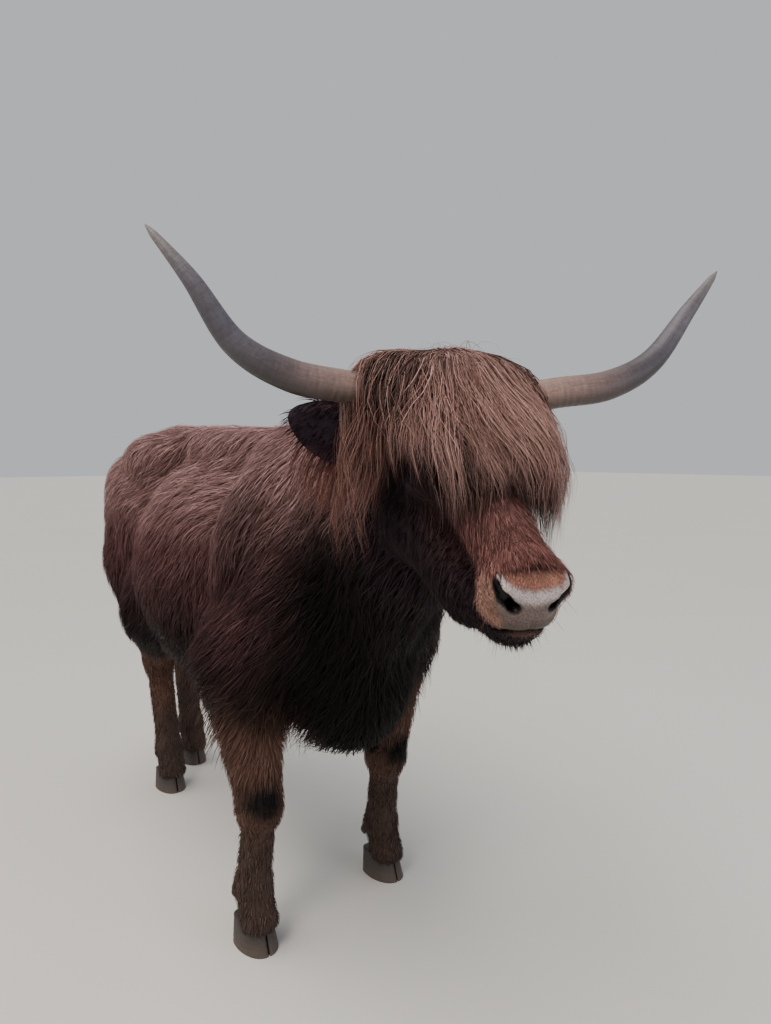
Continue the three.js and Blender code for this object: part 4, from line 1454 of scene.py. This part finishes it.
# ------------------------------------------------------------------ horns
# The middle of the left horn from its root to its tip, in the head's frame.
HORN_LINE = [
    (66, 24, -12),
    (112, 38, 4),
    (186, 43, 22),
    (281, 41, 39),
    (365, 17, 77),
    (429, -25, 156),
    (491, -72, 214),
]
HORN_RADIUS = 27


def keratin(name, ring_gap, fibre, wear):
    """Weathered horn: layered keratin, dull, with growth rings across it and fine fibres
    along it, and a faint polish where it has been rubbed. The rings' gap and the fibres' width
    are in millimetres, and wear is the roughness of the rubbed places."""
    m = new_material(name)
    tint = node(m, "ShaderNodeAttribute", {"attribute_name": "tint"})
    # The map of the layers is in millimetres: round the horn in x and y, along it in z.
    grown = node(m, "ShaderNodeAttribute", {"attribute_name": "grown"})
    layered = grown.outputs["Vector"]
    along = node(m, "ShaderNodeMapping", {"Scale": (1 / fibre, 1 / fibre, 0.03)}, Vector=layered)
    across = node(m, "ShaderNodeMapping", {"Scale": (0.02, 0.02, 1 / ring_gap)}, Vector=layered)
    fibres = node(m, "ShaderNodeTexNoise", {"Scale": 1.0, "Detail": 3.0}, Vector=along.outputs[0])
    rings = node(
        m,
        "ShaderNodeTexNoise",
        {"Scale": 1.0, "Detail": 4.0, "Roughness": 0.65},
        Vector=across.outputs[0],
    )
    # Mottling where the outer layers have flaked is 6 mm across.
    flakes = node(
        m,
        "ShaderNodeTexNoise",
        {"Scale": 0.17, "Detail": 6.0, "Roughness": 0.7},
        Vector=layered,
    )
    layers = node(
        m,
        "ShaderNodeMix",
        {"data_type": "FLOAT", 0: 0.5},
        _2=fibres.outputs[0],
        _3=rings.outputs[0],
    )
    relief = node(
        m,
        "ShaderNodeMix",
        {"data_type": "FLOAT", 0: 0.35},
        _2=layers.outputs[0],
        _3=flakes.outputs[0],
    )
    tone = node(
        m,
        "ShaderNodeMapRange",
        {"From Min": 0.36, "From Max": 0.64, "To Min": 0.6, "To Max": 1.4},
        Value=relief.outputs[0],
    )
    tinted = node(
        m, "ShaderNodeVectorMath", {"operation": "SCALE"}, _0=tint.outputs["Color"], Scale=tone.outputs[0]
    )
    dull = node(
        m,
        "ShaderNodeMapRange",
        {"From Min": 0.35, "From Max": 0.65, "To Min": wear, "To Max": wear + 0.25},
        Value=flakes.outputs[0],
    )
    bump = node(m, "ShaderNodeBump", {"Strength": 0.55, "Distance": 0.0012}, Height=relief.outputs[0])
    surface = node(
        m,
        "ShaderNodeBsdfPrincipled",
        {"IOR": 1.54, "Specular IOR Level": 0.45},
        Base_Color=tinted.outputs[0],
        Roughness=dull.outputs[0],
        Normal=bump.outputs[0],
    )
    return shade(m, surface)


HORN_SHEATH = keratin("horn_sheath", 5.0, 1.6, 0.36)
HOOF_WALL = keratin("hoof_wall", 4.0, 1.4, 0.5)
# The horn's colours from its root to its tip.
HORN_TINTS = ["#94756a", "#93776d", "#6a5652", "#443d42", "#45424b", "#5a555d", "#6b6663"]
HORN_TINTS = [linear(c) for c in HORN_TINTS]


def keratin_tint(share, tints):
    """The colour at each share of the way through a list of tints."""
    tints = np.array(tints)
    place = np.clip(share, 0, 1) * (len(tints) - 1)
    low = np.minimum(place.astype(int), len(tints) - 2)
    return tints[low] + (tints[low + 1] - tints[low]) * (place - low)[:, None]


def on_nearest(line, points):
    """The middle of the ring that each of a loft's points belongs to."""
    sides = (len(points) - 2) // len(line)
    return np.concatenate([np.repeat(line, sides, axis=0), line[:1], line[-1:]])


def make_horn(side):
    """The sheath of a horn, thick to nearly half its length and blunt at its tip."""
    name = sided("horn", side)
    t = np.linspace(0, 1, 170)
    sides = 40
    line = curve_through([on_head(side * s, a, out) for s, a, out in HORN_LINE], t)
    run = np.concatenate([[0], np.cumsum(np.linalg.norm(np.diff(line, axis=0), axis=1))])
    taper = 1 - 0.85 * (np.maximum(t - 0.45, 0) / 0.55) ** 1.5
    blunt = np.sqrt(np.clip((1 - t) / 0.03, 0.02, 1))
    radius = HORN_RADIUS * taper * blunt
    # Years of growth leave shallow uneven rings near the root.
    ring_gap = 13
    rings = np.sin(run * math.tau / ring_gap + 0.9 * np.sin(run / 19)) * np.sin(run / 31) ** 2
    radius += 0.3 * rings * (1 - smooth(run, 120, 280))
    turn = np.linspace(0, math.tau, sides, endpoint=False)[None]
    uneven = 1 + 0.02 * np.sin(2 * turn + 3 * t[:, None]) + 0.012 * np.sin(3 * turn - 5 * t[:, None])
    outlines = round_outlines(radius, radius, sides) * uneven[..., None]
    points, faces = loft(line, outlines, UP)
    piece = mesh_piece(name + "_sheath", metres(points), faces, HORN_SHEATH, "horn", [name])
    flat = outlines.reshape(-1, 2)
    ends = [[0, 0, 0], [0, 0, run[-1]]]
    grown = np.concatenate([np.column_stack([flat, np.repeat(run, sides)]), ends])
    give_place(piece, "grown", grown)
    # The underside is made darker, as painted shade.
    lower = smooth(-(points - on_nearest(line, points))[:, 2] / HORN_RADIUS, -0.1, 0.9)
    mottle_and_painted_shade = (1 + 0.25 * ripple(points, 34, 1.0 + side)) * (1 - 0.72 * lower)
    give_colour(piece, "tint", keratin_tint(grown[:, 2] / run[-1], HORN_TINTS) * mottle_and_painted_shade[:, None])


for side in (1, -1):
    make_horn(side)


# ------------------------------------------------------------------ ears
# The middle of the left ear from its root to its tip, in the head's frame.
EAR_LINE = [(88, 40, -86), (150, 26, -84), (215, 2, -80), (266, -28, -76)]
EAR_FACING = unit(DOWN_FACE + 0.25 * OUT_FACE)  # the hollow faces forwards and a little down
INSIDE_EAR = linear("#332631")


def make_ear(side):
    """A cupped ear, hairy on both sides."""
    name = sided("ear", side)
    rings, sides = 44, 48
    t = np.linspace(0, 1, rings)
    reach = 1.0 if side < 0 else 0.88  # the left ear is held closer to the head
    line = curve_through([on_head(side * s * reach, a, out) for s, a, out in EAR_LINE], t)
    leaf = np.sin(math.pi * np.minimum(1, 0.16 + 0.84 * t)) ** 0.7
    wide = 5 + 53 * leaf
    deep = 5 + 24 * (1 - 0.5 * t) * leaf
    turn = np.linspace(0, math.tau, sides, endpoint=False)
    back = np.minimum(np.sin(turn), 0)
    front = np.maximum(np.sin(turn), 0)
    # The shell is 4 mm thick: its front follows the back and leaves the hollow open.
    cupped = np.outer(deep, back) + np.outer(4 - deep, front)
    folds = 2.2 * np.outer(leaf, front * np.sin(5 * turn))
    outlines = np.stack([np.outer(wide, np.cos(turn)), cupped + folds + 0.35 * deep[:, None]], axis=-1)
    points, faces = loft(line, outlines, EAR_FACING)
    piece = mesh_piece(name + "_shell", metres(points), faces, HIDE_AND_NOSE, "coat", [name])
    give_colour(piece, "hair", np.tile(INSIDE_EAR, (len(points), 1)))
    give_number(piece, "bare", np.zeros(len(points)))
    give_place(piece, "combed", points)
    grow_ear_hair(name, line, points, faces)


def grow_ear_hair(name, line, points, faces):
    """The hair of an ear: dark, short on the back and longest on the rim, with a brown fringe
    that hangs from the lower rim."""
    tipward = unit(line[-1] - line[0])
    roots, out = scatter(points, faces, np.ones(len(faces)), how_many(1000))
    from_line = roots - line[0] - ((roots - line[0]) @ tipward)[:, None] * tipward
    rim = smooth(np.linalg.norm(from_line, axis=1), 30, 55)
    way = unit(out * 0.35 + tipward * 0.75 - UP * 0.45 + unit(from_line) * rim[:, None] * 0.8)
    lower = rim * smooth(-unit(from_line)[:, 2], 0.0, 0.7)
    length = (26 + 36 * rim + 44 * lower) * random.uniform(0.7, 1.25, len(roots))
    paths = hang(roots, way, length, 4, 0.5 + 0.7 * rim + 1.2 * lower)
    inside = smooth(out @ EAR_FACING, 0.1, 0.5)[:, None]
    edge = np.clip(rim, 0, 1)[:, None] * random.random((len(roots), 1))
    colour = HAIR["face"] * (1 - inside) + INSIDE_EAR * inside
    colour = colour * (1 - edge) + HAIR["body"] * edge
    colour = colour * (1 - lower[:, None]) + HAIR["brow"] * lower[:, None]
    grow(name + "_hair", roots, paths, 2.8, colour, leaders=0.2, pull=0.5)


for side in (1, -1):
    make_ear(side)


# ------------------------------------------------------------------ eyes
def wet_eye():
    """A cow's eye: a dark brown iris and a level oval pupil behind a wet, glassy cornea."""
    m = new_material("wet_eye")
    tint = node(m, "ShaderNodeAttribute", {"attribute_name": "tint"})
    spot = node(m, "ShaderNodeTexCoord")
    # Threads of the iris are about 0.8 mm wide.
    threads = node(m, "ShaderNodeTexNoise", {"Scale": 1200.0, "Detail": 2.0}, Vector=spot.outputs["Object"])
    tone = node(m, "ShaderNodeMapRange", {"To Min": 0.6, "To Max": 1.4}, Value=threads.outputs[0])
    tinted = node(
        m, "ShaderNodeVectorMath", {"operation": "SCALE"}, _0=tint.outputs["Color"], Scale=tone.outputs[0]
    )
    cornea = {"Coat Weight": 1.0, "Coat Roughness": 0.02, "Coat IOR": 1.38}
    surface = node(
        m,
        "ShaderNodeBsdfPrincipled",
        {"Roughness": 0.12, "IOR": 1.38, **cornea},
        Base_Color=tinted.outputs[0],
    )
    return shade(m, surface)


WET_EYE = wet_eye()


def make_eye(side):
    """An eyeball with its cornea swelling a little over the iris."""
    name = sided("eye", side)
    centre = on_head(side * EYE[0], EYE[1], EYE[2])
    gaze = unit(HEAD_LEFT * side + DOWN_FACE * 0.35 + OUT_FACE * 0.1)
    t = np.linspace(0.02, 0.98, 40)
    line = centre - gaze * (EYE_RADIUS * np.cos(math.pi * t))[:, None]
    radius = EYE_RADIUS * np.sin(math.pi * t)
    points, faces = loft(line, round_outlines(radius, radius, 56), DOWN_FACE)
    away = points - centre
    forward = away @ gaze
    level = away @ unit(DOWN_FACE - gaze * (DOWN_FACE @ gaze))
    upright = np.sqrt(np.maximum((away * away).sum(1) - forward**2 - level**2, 0))
    from_gaze = np.hypot(level, upright)
    points = points + gaze * (1.2 * np.exp(-((from_gaze / 8) ** 2)) * (forward > 0))[:, None]
    piece = mesh_piece(name + "_ball", metres(points), faces, WET_EYE, "eye", [name])
    white, iris, pupil = linear("#8d7f78"), linear("#2e1a0f"), linear("#050404")
    in_iris = (1 - smooth(from_gaze, 10.5, 12.5))[:, None]
    in_pupil = (1 - smooth(np.hypot(level / 1.9, upright), 3.2, 4.2))[:, None]
    colour = white * (1 - in_iris) + iris * in_iris
    give_colour(piece, "tint", colour * (1 - in_pupil) + pupil * in_pupil)


for side in (1, -1):
    make_eye(side)


# ------------------------------------------------------------------ claws and dewclaws
CLAW_HALF_LENGTH = 56
CLAW_WIDTH = 46
CLAW_SPLIT = 5  # the gap between the two claws of a foot
CLAW_SHRINK = 0.16  # how much smaller a claw is at its top than at the floor


def bend_through(a, b, c, d, count):
    """Places on a curve from a to d that b and c draw towards them."""
    t = np.linspace(0, 1, count, endpoint=False)[:, None]
    a, b, c, d = (np.array(q, float) for q in (a, b, c, d))
    return a * (1 - t) ** 3 + 3 * b * t * (1 - t) ** 2 + 3 * c * t**2 * (1 - t) + d * t**3


def claw_outline():
    """A claw seen from above, toe at -y, with its inner wall near x = 0."""
    half, wide, inner = CLAW_HALF_LENGTH, CLAW_WIDTH, CLAW_SPLIT / 2
    toe, outer, heel = (inner, -half), (wide, half * 0.3), (wide * 0.45, half)
    bulb, split = (inner, half * 0.3), (inner, -half * 0.7)
    return np.concatenate(
        [
            bend_through(toe, (wide * 0.75, -half), (wide * 1.02, -half * 0.2), outer, 12),
            bend_through(outer, (wide, half * 0.9), (wide * 0.75, half), heel, 8),
            bend_through(heel, (wide * 0.1, half), (inner, half * 0.8), bulb, 8),
            bend_through(bulb, (inner, 0), (inner, -half * 0.4), split, 8),
            bend_through(split, (inner, -half * 0.8), (inner, -half * 0.9), toe, 4),
        ]
    )


# A claw's colours from the floor up.
HOOF_TINTS = [linear(c) for c in ("#4d4139", "#3a322e", "#2b2624")]


def side_of_foot(foot, half):
    """Which way from the middle of its foot a claw is: 1 to the cow's left, -1 to its right."""
    return math.copysign(1, FEET[foot][0]) * (1 if half == "outer" else -1)


def make_claw(foot, half):
    """The wall and sole of a claw."""
    x, y = FEET[foot]
    side = side_of_foot(foot, half)
    outline = claw_outline()
    middle = outline.mean(axis=0)
    rise = np.array([0, 0.02, 0.06, 0.14, 0.24, 0.34, 0.44, 0.54, 0.64, 0.74, 0.84, 0.92, 0.98, 1.0])
    # The edge at the floor is rounded, the wall is ringed, and the top band swells a little.
    size = 1 - CLAW_SHRINK * rise
    scale = size * (1 - 0.03 * (rise == 0)) - 0.08 * (rise > 0.99)
    scale += 0.008 * np.sin(rise * 34) * (rise > 0.05) + 0.012 * np.exp(-(((rise - 0.94) / 0.04) ** 2))
    levels = middle * size[:, None, None] + (outline - middle)[None] * scale[:, None, None]
    levels[:, :, 0] = np.maximum(levels[:, :, 0], CLAW_SPLIT / 2 * size[:, None])
    ends = np.array([middle, middle * (1 - CLAW_SHRINK)])
    flat = np.concatenate([levels.reshape(-1, 2), ends])
    high = np.concatenate([np.repeat(rise, len(outline)), [0, 1.0]])
    points = np.column_stack([x + side * flat[:, 0], y + flat[:, 1] + 14 * high, high * CLAW_TOP])
    faces = loft(np.zeros((len(rise), 3)) + np.arange(len(rise))[:, None] * UP, levels, AHEAD)[1]
    if side > 0:
        faces = faces[:, ::-1]
    name = f"hoof_{foot}_{half}"
    piece = mesh_piece(name + "_wall", metres(points), faces, HOOF_WALL, "hoof", [name])
    give_place(piece, "grown", np.column_stack([flat, high * CLAW_TOP]))
    give_colour(piece, "tint", keratin_tint(high, HOOF_TINTS))


def make_dewclaw(foot, half):
    """One of the two small claws that lie close behind the fetlock."""
    x, y = FEET[foot]
    side = side_of_foot(foot, half)
    sides, length = 20, 50
    t = np.linspace(0, 1, 16)
    knots = [(side * 20, 44, 122), (side * 23, 58, 106), (side * 23, 63, 91)]
    line = curve_through([(x + across, y + behind, z) for across, behind, z in knots], t)
    radius = 14 * np.sin(math.pi * np.minimum(0.93, t * 0.75 + 0.22)) ** 0.8
    points, faces = loft(line, round_outlines(radius, radius * 0.85, sides), AHEAD)
    name = f"dewclaw_{foot}_{half}"
    piece = mesh_piece(name + "_wall", metres(points), faces, HOOF_WALL, "hoof", [name])
    flat = round_outlines(radius, radius, sides).reshape(-1, 2)
    wall = np.column_stack([flat, np.repeat(t * length, sides)])
    give_place(piece, "grown", np.concatenate([wall, [[0, 0, 0], [0, 0, length]]]))
    give_colour(piece, "tint", keratin_tint(points[:, 2] / 120, HOOF_TINTS))


for foot in FEET:
    for half in ("inner", "outer"):
        make_claw(foot, half)
        make_dewclaw(foot, half)

# ------------------------------------------------------------------ the tail
coat_piece("tail_coat", on_tail, 800, length=70, width=4.5, lie=lie_of_body, rings=4, droop=0.3)
# The middle of the switch, the long tuft that ends the tail.
SWITCH_LINE = [(-68, 1284, 860), (-56, 1290, 700), (-40, 1296, 590), (-22, 1290, 480), (-6, 1278, 352)]
SWITCH = {"leaders": 0.08, "pull": 0.5, "swing": 6.0, "reach": 140, "slot": "long_hair"}


def make_switch():
    """Locks that lie along the end of the tail, narrow at first, then full and drawn to a point."""
    count = how_many(800)
    t = np.linspace(0, 1, 9)
    line = curve_through(SWITCH_LINE, t)
    swelling = np.sin(math.pi * np.clip((t - 0.25) / 0.75 + 0.05, 0, 1)) ** 0.8
    full = np.where(t < 0.25, 13, 12 + 36 * swelling)
    turn = random.uniform(0, math.tau, (count, 1))
    near = np.sqrt(random.random((count, 1)))
    start = random.uniform(0, 0.35, (count, 1))
    end = random.uniform(0.72, 1.0, (count, 1))
    share = start + (end - start) * t[None]
    centres = np.stack([np.interp(share, t, line[:, i]) for i in range(3)], axis=-1)
    spread = np.interp(share, t, full) * (0.35 + 0.65 * near)
    around = turn + 0.5 * share
    paths = centres + np.stack([spread * np.cos(around), spread * np.sin(around), 0 * spread], axis=-1)
    colour = np.tile(HAIR["body"] * 0.9, (count, 1))
    grow("tail_switch_hair", paths[:, 0].copy(), paths, 4.2, colour, replaced=["tail_switch"], **SWITCH)


make_switch()


# ------------------------------------------------------------------ floor, light and camera
def painted_floor():
    """A pale painted floor: matt, with hardly seen clouds over a metre across."""
    m = new_material("painted_floor")
    spot = node(m, "ShaderNodeTexCoord")
    cloud = node(m, "ShaderNodeTexNoise", {"Scale": 0.8, "Detail": 3.0}, Vector=spot.outputs["Object"])
    colour = node(
        m, "ShaderNodeMix", {"data_type": "RGBA", 6: rgba("#cbc9c5"), 7: rgba("#d1cfcb")}, _0=cloud.outputs[0]
    )
    surface = node(m, "ShaderNodeBsdfPrincipled", {"Roughness": 0.85}, Base_Color=colour.outputs[2])
    return shade(m, surface)


FAR = 40.0
floor_mesh = bpy.data.meshes.new("floor")
floor_mesh.from_pydata([(-FAR, -FAR, 0), (FAR, -FAR, 0), (FAR, FAR, 0), (-FAR, FAR, 0)], [], [(0, 1, 2, 3)])
floor_mesh.materials.append(painted_floor())
floor = bpy.data.objects.new("floor", floor_mesh)
bpy.context.scene.collection.objects.link(floor)

world = bpy.data.worlds.new("studio")
world.use_nodes = True
world.node_tree.nodes["Background"].inputs["Color"].default_value = rgba("#e3e5e8")
world.node_tree.nodes["Background"].inputs["Strength"].default_value = 0.72
bpy.context.scene.world = world


def add_lamp(lamp, place, toward, power, colour):
    """A lamp at a place that faces a point."""
    lamp.energy = power
    lamp.color = linear(colour)
    made = bpy.data.objects.new(lamp.name, lamp)
    made.location = place
    made.rotation_euler = (Vector(toward) - Vector(place)).to_track_quat("-Z", "Y").to_euler()
    bpy.context.scene.collection.objects.link(made)


def soft_box(name, place, toward, size, power, colour):
    """A large round lamp."""
    lamp = bpy.data.lights.new(name, "AREA")
    lamp.shape = "DISK"
    lamp.size = size
    add_lamp(lamp, place, toward, power, colour)


# Light from the ceiling reaches the whole floor alike, and comes a little from behind the cow.
ceiling = bpy.data.lights.new("ceiling", "SUN")
ceiling.angle = math.radians(50)
add_lamp(ceiling, (-1.2, 0.8, 4.0), (0, 0, 0), 2.2, "#fff6ec")
soft_box("key", (-2.6, -1.6, 3.6), (0, -0.3, 0.9), 1.8, 90, "#fff4e8")
soft_box("fill", (1.8, -4.0, 1.8), (0, -0.6, 0.9), 2.5, 30, "#f0f4ff")

# The camera stands before the cow's right shoulder, a little lower than the cow's back.
camera_data = bpy.data.cameras.new("camera")
camera_data.lens = 25.84
camera_data.sensor_width = 36
camera_data.clip_start = 0.05
camera = bpy.data.objects.new("camera", camera_data)
camera.location = metres((-945, -1454, 1120))
camera.rotation_euler = (math.radians(90 - 4.4), 0, math.radians(-37.1))
bpy.context.scene.collection.objects.link(camera)
bpy.context.scene.camera = camera
